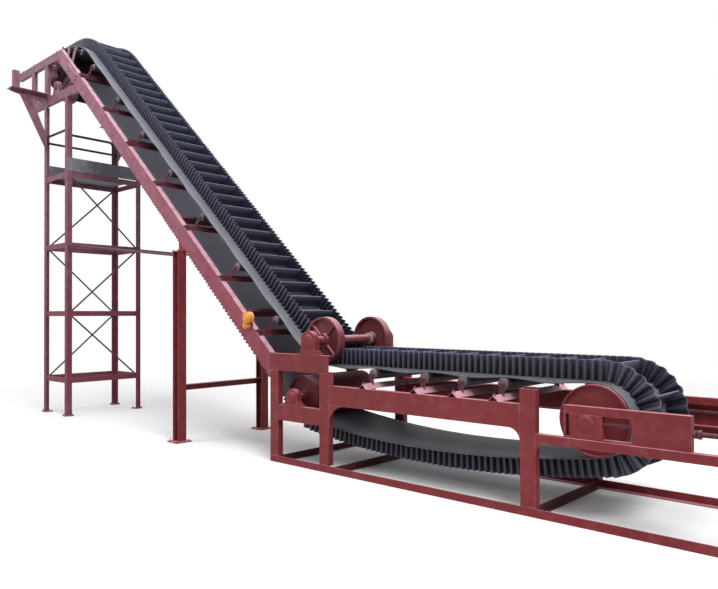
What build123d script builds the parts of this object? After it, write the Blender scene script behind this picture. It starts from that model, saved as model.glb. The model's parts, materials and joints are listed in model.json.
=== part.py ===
from build123d import *
import math
import os

# Steep incline conveyor with a corrugated sidewall belt, in millimetres.
# +X runs to the loading end, +Z is up, and Y = 0 is the mid-plane of the belt.
# The near side is -Y. The drive is on the far side, and a bare outrigger stands out on the near one.

# Side frame, shared by every section
FRAME_HALF = 576.0
CHANNEL_WIDTH = 63.0
CHANNEL_WEB = 8.0
CHANNEL_FLANGE = 10.0
ANGLE_LEG = 63.0
ANGLE_THICK = 6.0
RUNNING_GAP = 0.05
BELT_GAP = 0.3
DRIVE_SIDE = 1
SHAFT_CLEARANCE = 5.0
SHAFT_END_GAP = 2.0
WELD_SINK = 2.0
BOLT_RADIUS = 12.0
BOLT_HEAD = 10.0
CUT_REACH = 1500.0
CUT_MARGIN = 200.0

# Insets of the belt and its rolls from the frame's outer face
BELT_INSET = 176.0
WALL_INSET = 296.0
DRUM_INSET = 151.0
WHEEL_INSET = 236.0
ROLLER_INSET = 146.0
BRACKET_INSET = 131.0

# Bend box under the press wheels
BOX_LENGTH = 805.0
BOX_TOP = 1060.0
BOX_BEAM_DEPTH = 165.0
BOX_POST_WIDTH = 115.0
SHELF_TOP = 565.0
SHELF_DEPTH = 150.0

# Lower section and tail
LOWER_BEAM_TOP = 790.0
LOWER_BEAM_DEPTH = 175.0
MID_POST_X = 2740.0
MID_POST_WIDTH = 120.0
MID_POST_TOP = 900.0
TAIL_RAIL_TOP = 590.0
TAIL_RAIL_DEPTH = 60.0
TAIL_RAIL_THICK = 8.0
TAIL_END_X = 4350.0
TAIL_POST_WIDTH = 75.0
TAKEUP_START_X = 3060.0
TAKEUP_END_X = 3885.0
TAKEUP_SETBACK = 25.0
TAKEUP_WIDTH = 50.0
TAKEUP_LOW_BAR = 10.0
TAKEUP_TOP_BAR = 55.0
TAKEUP_END_PLATE = 16.0
TAKEUP_LIP = 4.0
TAKEUP_BLOCK_LENGTH = 224.0
TAKEUP_CAP_RADIUS = 52.0
TAKEUP_NUT = 26.0
TAKEUP_HEIGHT = 220.0
TAKEUP_PLATE_X = 3525.0
TAKEUP_SCREW_END_X = 4120.0
TAKEUP_SCREW_RADIUS = 15.0
BOX_GUSSET = 200.0
POST_GUSSET = 95.0
STEP_LENGTH = 60.0
STEP_HEIGHT = 125.0
BASE_BAR_X = (100.0, 870.0, 2830.0, 4290.0)
ORIGIN_BAR = 1

# Incline
INCLINE_ANGLE = 42.35
INCLINE_TOP_AT_BOX = 1065.0
INCLINE_DEPTH = 180.0
SPLICE_X = -4250.0
SPLICE_LENGTH = 320.0
SPLICE_WIDTH = 110.0
SPLICE_THICK = 10.0
IDLER_X = (-208.0, -838.0, -1494.0, -2146.0, -2792.0, -3415.0, -4088.0)
TIE_X = (-480.0, -1690.0, -2930.0)
TIE_SIZE = 80.0
TIE_DROP = 35.0
TIE_CHANNEL = (40.0, 6.0, 7.0)

# Trestle under the incline
TRESTLE_X = -1556.0
TRESTLE_SECTION = 108.0
TRESTLE_OVERHANG = 80.0
TRESTLE_WEB = 7.0
TRESTLE_FLANGE = 9.0
TRESTLE_TOP = 2155.0
TRESTLE_TIE = 70.0
TRESTLE_TIE_TOP = 645.0
TRESTLE_FOOT = 200.0
CAP_EDGE = 12.0
FOOT_THICK = 12.0

# Tower under the head
TOWER_X = (-5190.0, -4500.0)
TOWER_LEG = 75.0
TOWER_LEG_THICK = 7.0
TOWER_FOOT_EDGE = 20.0
TOWER_TOP = 4580.0
TIE_TOPS = (545.0, 1505.0, 2490.0, 3510.0)
TOWER_TIE = 75.0
TOWER_TIE_THICK = 7.0
BRACE_SIZE = 24.0
DECK_THICK = 5.0
BOARD_THICK = 4.0
BOARD_GAP = 10.0
TOE_BOARD_HEIGHT = 190.0
RAIL_RADIUS = 17.0
HANDRAIL_Z = 4040.0
SIDE_RAIL_Z = 4120.0
RAIL_END_Y = 130.0
RAIL_BEND = 60.0
STAY_RADIUS = 14.0
STAY_TOWER_Z = 2450.0
STAY_TRESTLE_Z = 2120.0

# Head frame
HEAD_END_X = -6170.0
UPPER_CHORD_TOP = 5312.0
UPPER_CHORD_DEPTH = 120.0
LOWER_CHORD_TOP = 4710.0
LOWER_CHORD_DEPTH = 130.0
LOWER_CHORD_END_X = -5690.0
HEAD_POST_X = (-5690.0, -5220.0)
HEAD_POST_WIDTH = 100.0
HEAD_CHANNEL_WIDTH = 50.0
HEAD_BEARING_RISE = 90.0
HEAD_BEARING_GAP = 10.0
HEAD_SEAT_WIDTH = 80.0
HEAD_SEAT_DEPTH = 40.0
CHORD_OVERLAP = 60.0
ARCH_RADIUS = 500.0

# Rolls: drums inside the loop, wheels that press the free margins
TAIL_DRUM = dict(x=3220.0, z=700.0, radius=250.0, shaft=35.0)
BEND_DRUM = dict(x=300.0, z=645.0, radius=200.0, shaft=30.0)
HEAD_DRUM = dict(x=-5170.0, z=5150.0, radius=250.0, shaft=40.0)
PRESS_WHEEL = dict(x=532.0, z=1190.0, radius=225.0, shaft=42.5)
RETURN_WHEEL = dict(x=-4850.0, z=4810.0, radius=190.0, shaft=30.0)
DRUM_FACE = 2 * (FRAME_HALF - DRUM_INSET)
DRUM_SHELL = 10.0
DRUM_RECESS = 28.0
DRUM_DISC = 12.0
DRUM_HUB_WALL = 26.0
WHEEL_WIDTH = 80.0
WHEEL_CENTRE_Y = FRAME_HALF - WHEEL_INSET
WHEEL_RIM = 20.0
WHEEL_WEB = 12.0
WHEEL_HUB_WALL = 24.0
WHEEL_HUB_PROUD = 6.0
WHEEL_RIBS = 4
WHEEL_RIB_START = 45.0
WHEEL_RIB_THICK = 10.0
WHEEL_RIB_INSET = 8.0
CREST_RADIUS = 900.0
SAG_RADIUS = 9000.0

# Pillow blocks
BEARING_WIDTH = 62.0
BEARING_SETBACK = 4.0
BEARING_CAP = 8.0
BEARING_EAR = 30.0
BEARING_STEP = 20.0
HOUSING_WALL = 50.0

# Drive and outriggers
CASE_GAP = 30.0
CASE_WIDTH = 170.0
CASE_RADIUS = 140.0
CASE_FOOT_RADIUS = 112.0
CASE_FOOT = 100.0
CASE_HUB_WALL = 30.0
CASE_HUB_PROUD = 14.0
ADAPTER_LENGTH = 170.0
ADAPTER_RADIUS = 100.0
ADAPTER_FLANGE = 16.0
MOTOR_LENGTH = 190.0
MOTOR_RADIUS = 128.0
MOTOR_COVER = 70.0
MOTOR_COVER_STEP = 12.0
MOTOR_FOOT = 190.0
TERMINAL_PROUD = 34.0
MOTOR_Z = 4880.0
OUTRIGGER_TOP = 4750.0
OUTRIGGER_REACH = 520.0
OUTRIGGER_WIDTH = 200.0
OUTRIGGER_PLATE = 10.0
OUTRIGGER_WEB = 8.0
OUTRIGGER_DEPTH = 140.0
OUTRIGGER_TIP = 50.0
STRUT_FOOT_Z = 3920.0
STRUT_REACH = 390.0
STRUT_WIDTH = 160.0
STOP_WIDTH = 90.0
STOP_DEPTH = 60.0
STOP_INSET = 40.0
STOP_HEIGHT = 260.0

# Belt switch beside the near incline beam
SWITCH_X = -298.0
SWITCH_RISE = 75.0
SWITCH_RADIUS = 58.0
SWITCH_DEPTH = 60.0
SWITCH_LOW_RADIUS = 38.0
SWITCH_LOW_DEPTH = 48.0
SWITCH_CAP = 14.0
SWITCH_PLATE = 6.0
SWITCH_LEAN = 36.0
SWITCH_SPAN = 79.0

# Belt
BELT_WIDTH = 2 * (FRAME_HALF - BELT_INSET)
BELT_THICK = 10.0
WALL_OUTER_Y = FRAME_HALF - WALL_INSET
WALL_DEPTH = 50.0
WALL_THICK = 12.0
WALL_HEIGHT = 150.0
HALF_WAVE = 57.0
CLEAT_EVERY = 4
CLEAT_HEIGHT = 135.0
CLEAT_FOOT = 36.0
CLEAT_TIP = 10.0
CLEAT_LEAN = 14.0
CLEAT_SIDE_GAP = 4.0

# Idlers
ROLLER_RADIUS = 44.5
ROLLER_HALF = FRAME_HALF - ROLLER_INSET
ROLLER_SHAFT = 12.0
LOWER_IDLER_X = (1220.0, 1780.0, 2155.0, 2520.0)
BRACKET_Y = FRAME_HALF - BRACKET_INSET
BRACKET_THICK = 8.0
BRACKET_WIDTH = 44.0
BRACKET_EYE = 24.0
CREST_ROLLER_ANGLES = (4.0, 18.0, 32.0)
CREST_BRACKET_WIDTH = 60.0
CREST_BRACKET_FOOT = 665.0

INCLINE = math.radians(INCLINE_ANGLE)
UPHILL = Vector(-math.cos(INCLINE), 0, math.sin(INCLINE))
OUTWARD = Vector(math.sin(INCLINE), 0, math.cos(INCLINE))
UP = Vector(0, 0, 1)
SIDES = (-1, 1)
ORIGIN_X = BASE_BAR_X[ORIGIN_BAR]


# Shapes


def block(x0, x1, y0, y1, z0, z1):
    size = Box(abs(x1 - x0), abs(y1 - y0), abs(z1 - z0))
    return Pos((x0 + x1) / 2, (y0 + y1) / 2, (z0 + z1) / 2) * size


def beam(profile, start, end, across, up):
    """A straight member: profile points are (across, up) from the start point."""
    start, end = Vector(start), Vector(end)
    corners = [start + across * u + up * v for u, v in profile]
    return Solid.extrude(Face(Wire.make_polygon(corners)), end - start)


def plate(points, y0, y1):
    """A flat plate from its side outline, between two Y planes."""
    corners = [Vector(x, y0, z) for x, z in points]
    return Solid.extrude(Face(Wire.make_polygon(corners)), Vector(0, y1 - y0, 0))


def rod(start, end, radius):
    start, end = Vector(start), Vector(end)
    along = end - start
    return Solid.make_cylinder(radius, along.length, Plane(origin=start, z_dir=along))


def bent_rod(points, bend, radius):
    """A round bar along straight runs joined by one bend radius."""
    path = FilletPolyline(*points, radius=bend)
    start = Vector(*points[0])
    section = Plane(origin=start, z_dir=Vector(*points[1]) - start) * Circle(radius)
    return sweep(section, path=path).solids()[0]


def turned(profile, x, z):
    """A turned part about a cross axis: profile points are (y, radius)."""
    corners = [Vector(x, y, z + r) for y, r in profile]
    return revolve(Face(Wire.make_polygon(corners)), Axis((x, 0, z), (0, 1, 0)), 360)


def channel(depth, width=CHANNEL_WIDTH, web=CHANNEL_WEB, flange=CHANNEL_FLANGE):
    """Channel profile hanging from its top outer corner, flanges inward."""
    low = flange - depth
    return [(0, 0), (width, 0), (width, -flange), (web, -flange),
            (web, low), (width, low), (width, -depth), (0, -depth)]


def angle_bar(leg, thick):
    """Angle profile with one leg down the outer face and one across the top."""
    return [(0, 0), (leg, 0), (leg, -thick), (thick, -thick), (thick, -leg), (0, -leg)]


def flat_bar(width, depth):
    return [(0, 0), (width, 0), (width, -depth), (0, -depth)]


def h_section(size, web, flange):
    half, edge, mid = size / 2, size / 2 - flange, web / 2
    return [(-half, half), (half, half), (half, edge), (mid, edge), (mid, -edge), (half, -edge),
            (half, -half), (-half, -half), (-half, -edge), (-mid, -edge), (-mid, edge), (-half, edge)]


def inward(side):
    return Vector(0, -side, 0)


def outer_y(side):
    return side * FRAME_HALF


def incline_top(x):
    """Height of the incline beams' top edge above the floor."""
    return INCLINE_TOP_AT_BOX - x * math.tan(INCLINE)


# Belt path: tangents and arcs round the rolls, in travel order


def signed_radius(roll, inside):
    """Radius of the belt's pulley face at a roll, negative where a wheel presses the carrying face."""
    if inside:
        return roll["radius"] + BELT_GAP
    return -(roll["radius"] + BELT_GAP + BELT_THICK)


def crest_centre():
    """Centre of the convex idler curve between the incline and the level head run."""
    level = HEAD_DRUM["z"] + HEAD_DRUM["radius"] + BELT_GAP
    press = Vector(PRESS_WHEEL["x"], 0, PRESS_WHEEL["z"])
    on_line = press - OUTWARD * (PRESS_WHEEL["radius"] + BELT_GAP + BELT_THICK)
    z = level - CREST_RADIUS
    foot = on_line - OUTWARD * CREST_RADIUS
    x = foot.X - (z - foot.Z) / math.tan(INCLINE)
    return x, z


def sag_centre():
    """Centre of the slack lower run's curve, tangent inside to the bend drum and the tail drum."""
    a, b = Vector(BEND_DRUM["x"], BEND_DRUM["z"]), Vector(TAIL_DRUM["x"], TAIL_DRUM["z"])
    ra = SAG_RADIUS - BEND_DRUM["radius"] - BELT_GAP
    rb = SAG_RADIUS - TAIL_DRUM["radius"] - BELT_GAP
    span = (b - a).length
    along = (span**2 + ra**2 - rb**2) / (2 * span)
    rise = math.sqrt(ra**2 - along**2)
    unit = (b - a).normalized()
    centre = a + unit * along + Vector(-unit.Y, unit.X) * rise
    return centre.X, centre.Y


def belt_runs():
    """Runs of the loop as name -> segments; a segment is a line or an arc of the pulley face."""
    crest_x, crest_z = crest_centre()
    sag_x, sag_z = sag_centre()
    # arc run, line run before it, x, z, signed radius
    stops = [
        ("tail_wrap", "lower_return", TAIL_DRUM["x"], TAIL_DRUM["z"], signed_radius(TAIL_DRUM, True)),
        ("press_bend", "lower_carry", PRESS_WHEEL["x"], PRESS_WHEEL["z"], signed_radius(PRESS_WHEEL, False)),
        ("crest", "incline_carry", crest_x, crest_z, CREST_RADIUS),
        ("head_wrap", "head_wrap", HEAD_DRUM["x"], HEAD_DRUM["z"], signed_radius(HEAD_DRUM, True)),
        ("head_return", "head_return", RETURN_WHEEL["x"], RETURN_WHEEL["z"], signed_radius(RETURN_WHEEL, False)),
        ("foot_bend", "incline_return", BEND_DRUM["x"], BEND_DRUM["z"], signed_radius(BEND_DRUM, True)),
        ("lower_return", "foot_bend", sag_x, sag_z, SAG_RADIUS),
    ]
    count = len(stops)
    headings, lengths = [], []
    for i in range(count):
        _, _, x0, z0, r0 = stops[i - 1]
        _, _, x1, z1, r1 = stops[i]
        span = math.hypot(x1 - x0, z1 - z0)
        turn = math.asin(max(-1.0, min(1.0, (r1 - r0) / span)))
        headings.append(math.atan2(z1 - z0, x1 - x0) - turn)
        lengths.append(span * math.cos(turn))
    runs = {}
    for i in range(count):
        name, line_name, x, z, radius = stops[i]
        start, end = headings[i], headings[(i + 1) % count]
        turn = (end - start) % (2 * math.pi)
        if radius < 0:
            turn -= 2 * math.pi
        if lengths[i] > 1.0:
            begin = (x + radius * math.sin(start) - lengths[i] * math.cos(start),
                     z - radius * math.cos(start) - lengths[i] * math.sin(start))
            runs.setdefault(line_name, []).append(
                dict(kind="line", at=begin, heading=start, length=lengths[i]))
        runs.setdefault(name, []).append(
            dict(kind="arc", at=(x, z), radius=radius, heading=start, turn=turn, length=abs(radius * turn)))
    return split_sag(runs)


def split_sag(runs):
    """Parts the slack lower run into three arcs, each short enough to be nearly straight."""
    whole = runs["lower_return"][0]
    for k, name in enumerate(("foot_return", "lower_return", "tail_return")):
        runs[name] = [dict(whole, heading=whole["heading"] + whole["turn"] * k / 3, turn=whole["turn"] / 3,
                           length=whole["length"] / 3)]
    return runs


def count_flats(runs):
    """Gives each segment a whole number of half waves, and the loop a whole number of cleats."""
    total = 0
    for segments in runs.values():
        for segment in segments:
            segment["flats"] = max(1, round(segment["length"] / HALF_WAVE))
            total += segment["flats"]
    longest = max((s for group in runs.values() for s in group), key=lambda s: s["length"])
    longest["flats"] += -total % CLEAT_EVERY


def place(segment, share, offset, fold=1.0):
    """Point at a share of a segment, offset outward from the pulley face, and the heading there."""
    if segment["kind"] == "line":
        heading = segment["heading"]
        along = share * segment["length"]
        x = segment["at"][0] + along * math.cos(heading) + offset * math.sin(heading)
        z = segment["at"][1] + along * math.sin(heading) - offset * math.cos(heading)
        return x, z, heading
    heading = segment["heading"] + share * segment["turn"]
    reach = (segment["radius"] + BELT_THICK) * fold + offset - BELT_THICK
    return segment["at"][0] + reach * math.sin(heading), segment["at"][1] - reach * math.cos(heading), heading


def stations(segment):
    """Shares where the carrying face folds, each with the factor that keeps its flats tangent."""
    flats = segment["flats"]
    fold = 1.0
    if segment["kind"] == "arc":
        fold = 1 / math.cos(segment["turn"] / flats / 2)
    inner = [((k + 0.5) / flats, fold) for k in range(flats)]
    return [(0.0, 1.0)] + inner + [(1.0, 1.0)]


def belt_run(segments):
    """The flat belt of one run: true arcs on the pulley face, flats on the carrying face."""
    pulley_edges = []
    outer = []
    for segment in segments:
        x0, z0, _ = place(segment, 0.0, 0.0)
        x1, z1, _ = place(segment, 1.0, 0.0)
        if segment["kind"] == "line":
            pulley_edges.append(Edge.make_line((x0, 0, z0), (x1, 0, z1)))
            folds = [(0.0, 1.0), (1.0, 1.0)]
        else:
            xm, zm, _ = place(segment, 0.5, 0.0)
            pulley_edges.append(Edge.make_three_point_arc((x0, 0, z0), (xm, 0, zm), (x1, 0, z1)))
            folds = stations(segment)
        points = [place(segment, share, BELT_THICK, fold)[:2] for share, fold in folds]
        outer += points if not outer else points[1:]
    first, last = pulley_edges[0] @ 0, pulley_edges[-1] @ 1
    corners = [(first.X, first.Z)] + outer + [(last.X, last.Z)]
    outer_edges = [Edge.make_line((a[0], 0, a[1]), (b[0], 0, b[1])) for a, b in zip(corners, corners[1:])]
    wire = Wire(pulley_edges + outer_edges)
    half = BELT_WIDTH / 2
    strip = Face(wire).moved(Location((0, -half, 0)))
    return [Solid.extrude(strip, Vector(0, 2 * half, 0))]


def sidewall_run(segments, first_peak):
    """Both corrugated sidewalls of one run, folded as zigzag strips that fan out round the rolls."""
    middle = WALL_OUTER_Y - WALL_DEPTH / 2
    swing = (WALL_DEPTH - WALL_THICK) / 2
    folds = []
    peak = first_peak
    for segment in segments:
        for k, (share, fold) in enumerate(stations(segment)):
            last = k == segment["flats"] + 1
            if folds and k == 0:
                continue
            base = place(segment, share, BELT_THICK, fold)[:2]
            tip = place(segment, share, BELT_THICK + WALL_HEIGHT, fold)[:2]
            shift = 0.0
            if k and not last:
                shift = swing if peak % 2 else -swing
                peak += 1
            folds.append((base, tip, shift))
    return [strip_solid(folds, side * middle, side) for side in SIDES], peak


def strip_solid(folds, centre, side):
    rings = []
    for base, tip, shift in folds:
        y0 = centre + side * shift - WALL_THICK / 2
        y1 = y0 + WALL_THICK
        rings.append([Vector(base[0], y0, base[1]), Vector(base[0], y1, base[1]),
                      Vector(tip[0], y1, tip[1]), Vector(tip[0], y0, tip[1])])
    faces = [polygon(rings[0]), polygon(rings[-1])]
    for a, b in zip(rings, rings[1:]):
        for i in range(4):
            j = (i + 1) % 4
            flat = i % 2 == 0
            if flat:
                faces.append(polygon([a[i], a[j], b[j], b[i]]))
            else:
                faces.append(polygon([a[i], a[j], b[j]]))
                faces.append(polygon([a[i], b[j], b[i]]))
    return Solid(Shell(faces))


def polygon(points):
    return Face(Wire.make_polygon(points))


def cleat(segment, share):
    """A cross cleat whose foot lies on one flat of the carrying face and whose tip leans forward."""
    x, z, heading = place(segment, share, BELT_THICK)
    ahead = Vector(math.cos(heading), 0, math.sin(heading))
    out = Vector(math.sin(heading), 0, -math.cos(heading))
    half = WALL_OUTER_Y - WALL_DEPTH - CLEAT_SIDE_GAP
    foot = Vector(x, -half, z)
    profile = [(-CLEAT_FOOT / 2, 0), (CLEAT_FOOT / 2, 0),
               (CLEAT_LEAN + CLEAT_TIP, CLEAT_HEIGHT), (CLEAT_LEAN, CLEAT_HEIGHT)]
    corners = [foot + ahead * u + out * v for u, v in profile]
    return Solid.extrude(polygon(corners), Vector(0, 2 * half, 0))


def belt_parts():
    """Belt, sidewalls and cleats; runs that share a node never touch each other."""
    runs = belt_runs()
    # run in travel order, node group
    order = [("tail_wrap", "drum_wraps"), ("lower_carry", "straight_runs"), ("press_bend", "curves"),
             ("incline_carry", "straight_runs"), ("crest", "curves"), ("head_wrap", "drum_wraps"),
             ("head_return", "curves"), ("incline_return", "straight_runs"), ("foot_bend", "drum_wraps"),
             ("foot_return", "curves"), ("lower_return", "straight_runs"), ("tail_return", "curves")]
    count_flats(runs)
    parts, cleats = {}, []
    flat_index = 0
    peak = 0
    for name, group in order:
        segments = runs[name]
        walls, peak = sidewall_run(segments, peak)
        parts.setdefault("belt_" + group, []).extend(belt_run(segments))
        parts.setdefault("sidewalls_" + group, []).extend(walls)
        for segment in segments:
            for k in range(segment["flats"]):
                if (flat_index + k) % CLEAT_EVERY == 0:
                    cleats.append(cleat(segment, k / segment["flats"]))
            flat_index += segment["flats"]
    parts["cleats"] = cleats
    return parts


# Rolls and their shafts


def shaft_pin(roll, y0, y1):
    return rod((roll["x"], y0, roll["z"]), (roll["x"], y1, roll["z"]), roll["shaft"])


def drum(roll):
    """A shell with recessed end discs and hubs, bored for its shaft."""
    half = DRUM_FACE / 2
    outer, inner = roll["radius"], roll["radius"] - DRUM_SHELL
    hub, bore = roll["shaft"] + DRUM_HUB_WALL, roll["shaft"] + RUNNING_GAP
    disc_face = half - DRUM_RECESS
    disc_back = disc_face - DRUM_DISC
    right = [(half, outer), (half, inner), (disc_face, inner), (disc_face, hub), (half, hub),
             (half, bore), (disc_back, bore), (disc_back, inner)]
    left = [(-y, r) for y, r in reversed(right)]
    return turned(right + left, roll["x"], roll["z"])


def edge_wheel(roll, side):
    """A pressing wheel with a flat web, a hub and radial ribs on its outer side."""
    centre, half = side * WHEEL_CENTRE_Y, WHEEL_WIDTH / 2
    outer, inner = roll["radius"], roll["radius"] - WHEEL_RIM
    hub, bore = roll["shaft"] + WHEEL_HUB_WALL, roll["shaft"] + RUNNING_GAP
    web, hub_half = WHEEL_WEB / 2, half + WHEEL_HUB_PROUD
    profile = [(-hub_half, bore), (hub_half, bore), (hub_half, hub), (web, hub), (web, inner),
               (half, inner), (half, outer), (-half, outer), (-half, inner), (-web, inner),
               (-web, hub), (-hub_half, hub)]
    wheel = turned([(centre + y, r) for y, r in profile], roll["x"], roll["z"])
    rise = half - web - WHEEL_RIB_INSET
    for k in range(WHEEL_RIBS):
        turn = math.radians(WHEEL_RIB_START + 360 / WHEEL_RIBS * k)
        ray = Vector(math.cos(turn), 0, math.sin(turn))
        flank = Vector(-math.sin(turn), 0, math.cos(turn))
        start = Vector(roll["x"], centre + side * web, roll["z"]) + ray * (hub - WELD_SINK)
        start -= flank * WHEEL_RIB_THICK / 2
        rib = beam(flat_bar(rise, -WHEEL_RIB_THICK), start, start + ray * (inner - hub + 2 * WELD_SINK),
                   Vector(0, side, 0), flank)
        wheel = wheel.fuse(rib)
    return wheel


def pillow_block(roll, side, seat_z, outer):
    """A pillow block: a stepped foot on its seat and a domed housing, closed on its outer face."""
    y1 = side * outer
    y0 = y1 - side * BEARING_WIDTH
    x, z = roll["x"], roll["z"]
    radius = roll["shaft"] + HOUSING_WALL
    step = min(BEARING_STEP, (z - seat_z) / 4)
    foot = block(x - radius - BEARING_EAR, x + radius + BEARING_EAR, y0, y1, seat_z, seat_z + step)
    shoulder = block(x - radius - BEARING_EAR / 2, x + radius + BEARING_EAR / 2, y0, y1,
                     seat_z, seat_z + 2 * step)
    neck = block(x - radius, x + radius, y0, y1, seat_z, z)
    dome = rod((x, y0, z), (x, y1, z), radius)
    below = block(x - 2 * radius, x + 2 * radius, y0 - side, y1 + side, z - 2 * radius, seat_z)
    bore = rod((x, y0 - side, z), (x, y1 - side * BEARING_CAP, z), roll["shaft"] + RUNNING_GAP)
    return foot.fuse(shoulder).fuse(neck).fuse(dome.cut(below)).cut(bore).solids()[0]


# Side frames of the box, the lower section and the tail


def base_parts():
    rails, bars = [], []
    for side in SIDES:
        upright = beam(flat_bar(ANGLE_THICK, ANGLE_LEG), (0, outer_y(side), ANGLE_LEG),
                       (TAIL_END_X, outer_y(side), ANGLE_LEG), inward(side), UP)
        foot = beam(flat_bar(ANGLE_LEG, ANGLE_THICK), (0, outer_y(side), ANGLE_THICK),
                    (TAIL_END_X, outer_y(side), ANGLE_THICK), inward(side), UP)
        rails.append(upright.fuse(foot))
    inner = FRAME_HALF - ANGLE_LEG
    reach = FRAME_HALF - ANGLE_THICK
    for x in BASE_BAR_X:
        foot = block(x - ANGLE_LEG / 2, x + ANGLE_LEG / 2, -inner, inner, 0, ANGLE_THICK)
        upright = block(x - ANGLE_THICK / 2, x + ANGLE_THICK / 2, -reach, reach, ANGLE_THICK, ANGLE_LEG)
        bars.append(foot.fuse(upright))
    return {"base_rails": rails, "base_cross_bars": bars}


def post(x, width, z0, z1, side, flange=CHANNEL_WIDTH):
    """A channel post with its web on the outer face and its flanges inward."""
    profile = [(0, 0), (flange, 0), (flange, CHANNEL_FLANGE), (CHANNEL_WEB, CHANNEL_FLANGE),
               (CHANNEL_WEB, width - CHANNEL_FLANGE), (flange, width - CHANNEL_FLANGE), (flange, width),
               (0, width)]
    return beam(profile, (x, outer_y(side), z0), (x, outer_y(side), z1), inward(side), Vector(1, 0, 0))


def level_channel(x0, x1, top, depth, side, width=CHANNEL_WIDTH):
    return beam(channel(depth, width), (x0, outer_y(side), top), (x1, outer_y(side), top), inward(side), UP)


def gusset(x, z, turn, side, reach):
    """A corner plate with a hollow curved edge, below a beam and beside a post."""
    hollow = reach * (1 - math.sqrt(0.5))
    y0, y1 = sorted((outer_y(side), outer_y(side) - side * CHANNEL_WEB))
    corner, across, down = (x, 0, z), (x + turn * reach, 0, z), (x, 0, z - reach)
    wire = Wire([Edge.make_line(corner, across),
                 Edge.make_three_point_arc(across, (x + turn * hollow, 0, z - hollow), down),
                 Edge.make_line(down, corner)])
    return Solid.extrude(Face(wire).moved(Location((0, y0, 0))), Vector(0, y1 - y0, 0))


def chord_joint_x():
    """Where the upper chord butts against the cut end of the rafter."""
    return -(UPPER_CHORD_TOP - INCLINE_TOP_AT_BOX) / math.tan(INCLINE) - CHORD_OVERLAP


def rafter_gusset(side):
    """A plate that rounds off the wide corner between the upper chord and the rafter."""
    z, end_x = UPPER_CHORD_TOP - UPPER_CHORD_DEPTH, chord_joint_x()
    fall = INCLINE_DEPTH / math.cos(INCLINE)
    corner = Vector(-(z + fall - INCLINE_TOP_AT_BOX) / math.tan(INCLINE), 0, z)
    tangent = ARCH_RADIUS * math.tan(INCLINE / 2)
    bisector = Vector(-math.sin(INCLINE / 2), 0, -math.cos(INCLINE / 2))
    middle = corner + bisector * ARCH_RADIUS * (1 / math.cos(INCLINE / 2) - 1)
    left, right = corner - Vector(tangent, 0, 0), corner - UPHILL * tangent
    low, high = Vector(end_x, 0, incline_top(end_x) - fall), Vector(end_x, 0, z)
    wire = Wire([Edge.make_three_point_arc(left, middle, right), Edge.make_line(right, low),
                 Edge.make_line(low, high), Edge.make_line(high, left)])
    y0, y1 = sorted((outer_y(side), outer_y(side) - side * CHANNEL_WEB))
    return Solid.extrude(Face(wire).moved(Location((0, y0, 0))), Vector(0, y1 - y0, 0))


def box_parts():
    posts, beams = [], []
    right_x = BOX_LENGTH - BOX_POST_WIDTH
    for side in SIDES:
        for x in (0.0, right_x):
            posts.append(post(x, BOX_POST_WIDTH, ANGLE_LEG, BOX_TOP - BOX_BEAM_DEPTH, side))
        beams.append(level_channel(0, BOX_LENGTH, BOX_TOP, BOX_BEAM_DEPTH, side))
        beams.append(level_channel(BOX_POST_WIDTH, right_x, SHELF_TOP, SHELF_DEPTH, side))
    return {"bend_posts": posts, "bend_beams": beams}


def lower_parts():
    names = ("lower_side_beams", "mid_posts", "gussets", "tail_rails")
    parts = {name: [] for name in names}
    under = LOWER_BEAM_TOP - LOWER_BEAM_DEPTH
    rail_start = MID_POST_X + MID_POST_WIDTH
    # corner x, corner z, way along X, reach
    corners = [(BOX_LENGTH, under, 1, BOX_GUSSET), (MID_POST_X, under, -1, POST_GUSSET),
               (rail_start, TAIL_RAIL_TOP - TAIL_RAIL_DEPTH, 1, POST_GUSSET)]
    legs = []
    for side in SIDES:
        y = outer_y(side)
        parts["lower_side_beams"].append(
            level_channel(BOX_LENGTH, MID_POST_X, LOWER_BEAM_TOP, LOWER_BEAM_DEPTH, side))
        parts["mid_posts"].append(post(MID_POST_X, MID_POST_WIDTH, ANGLE_LEG, MID_POST_TOP, side))
        parts["gussets"] += [gusset(x, z, turn, side, reach) for x, z, turn, reach in corners]
        parts["gussets"].append(block(BOX_LENGTH, BOX_LENGTH + STEP_LENGTH, y, y - side * CHANNEL_WEB,
                                      LOWER_BEAM_TOP, LOWER_BEAM_TOP + STEP_HEIGHT))
        parts["gussets"].append(rafter_gusset(side))
        parts["tail_rails"].append(
            beam(angle_bar(TAIL_RAIL_DEPTH, TAIL_RAIL_THICK), (rail_start, y, TAIL_RAIL_TOP),
                 (TAIL_END_X, y, TAIL_RAIL_TOP), inward(side), UP))
        legs.append(beam(angle_bar(TAIL_POST_WIDTH, TAIL_RAIL_THICK), (TAIL_END_X, y, ANGLE_LEG),
                         (TAIL_END_X, y, TAIL_RAIL_TOP - TAIL_RAIL_DEPTH), inward(side), Vector(1, 0, 0)))
    half = FRAME_HALF - TAIL_RAIL_THICK
    low = TAIL_RAIL_TOP - TAIL_RAIL_DEPTH
    bar = block(TAIL_END_X - TAIL_RAIL_THICK, TAIL_END_X, -half, half, low - TAIL_RAIL_DEPTH,
                TAIL_RAIL_TOP - TAIL_RAIL_THICK)
    parts["tail_frame"] = [legs[0].fuse(bar).fuse(legs[1])]
    return parts


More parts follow.
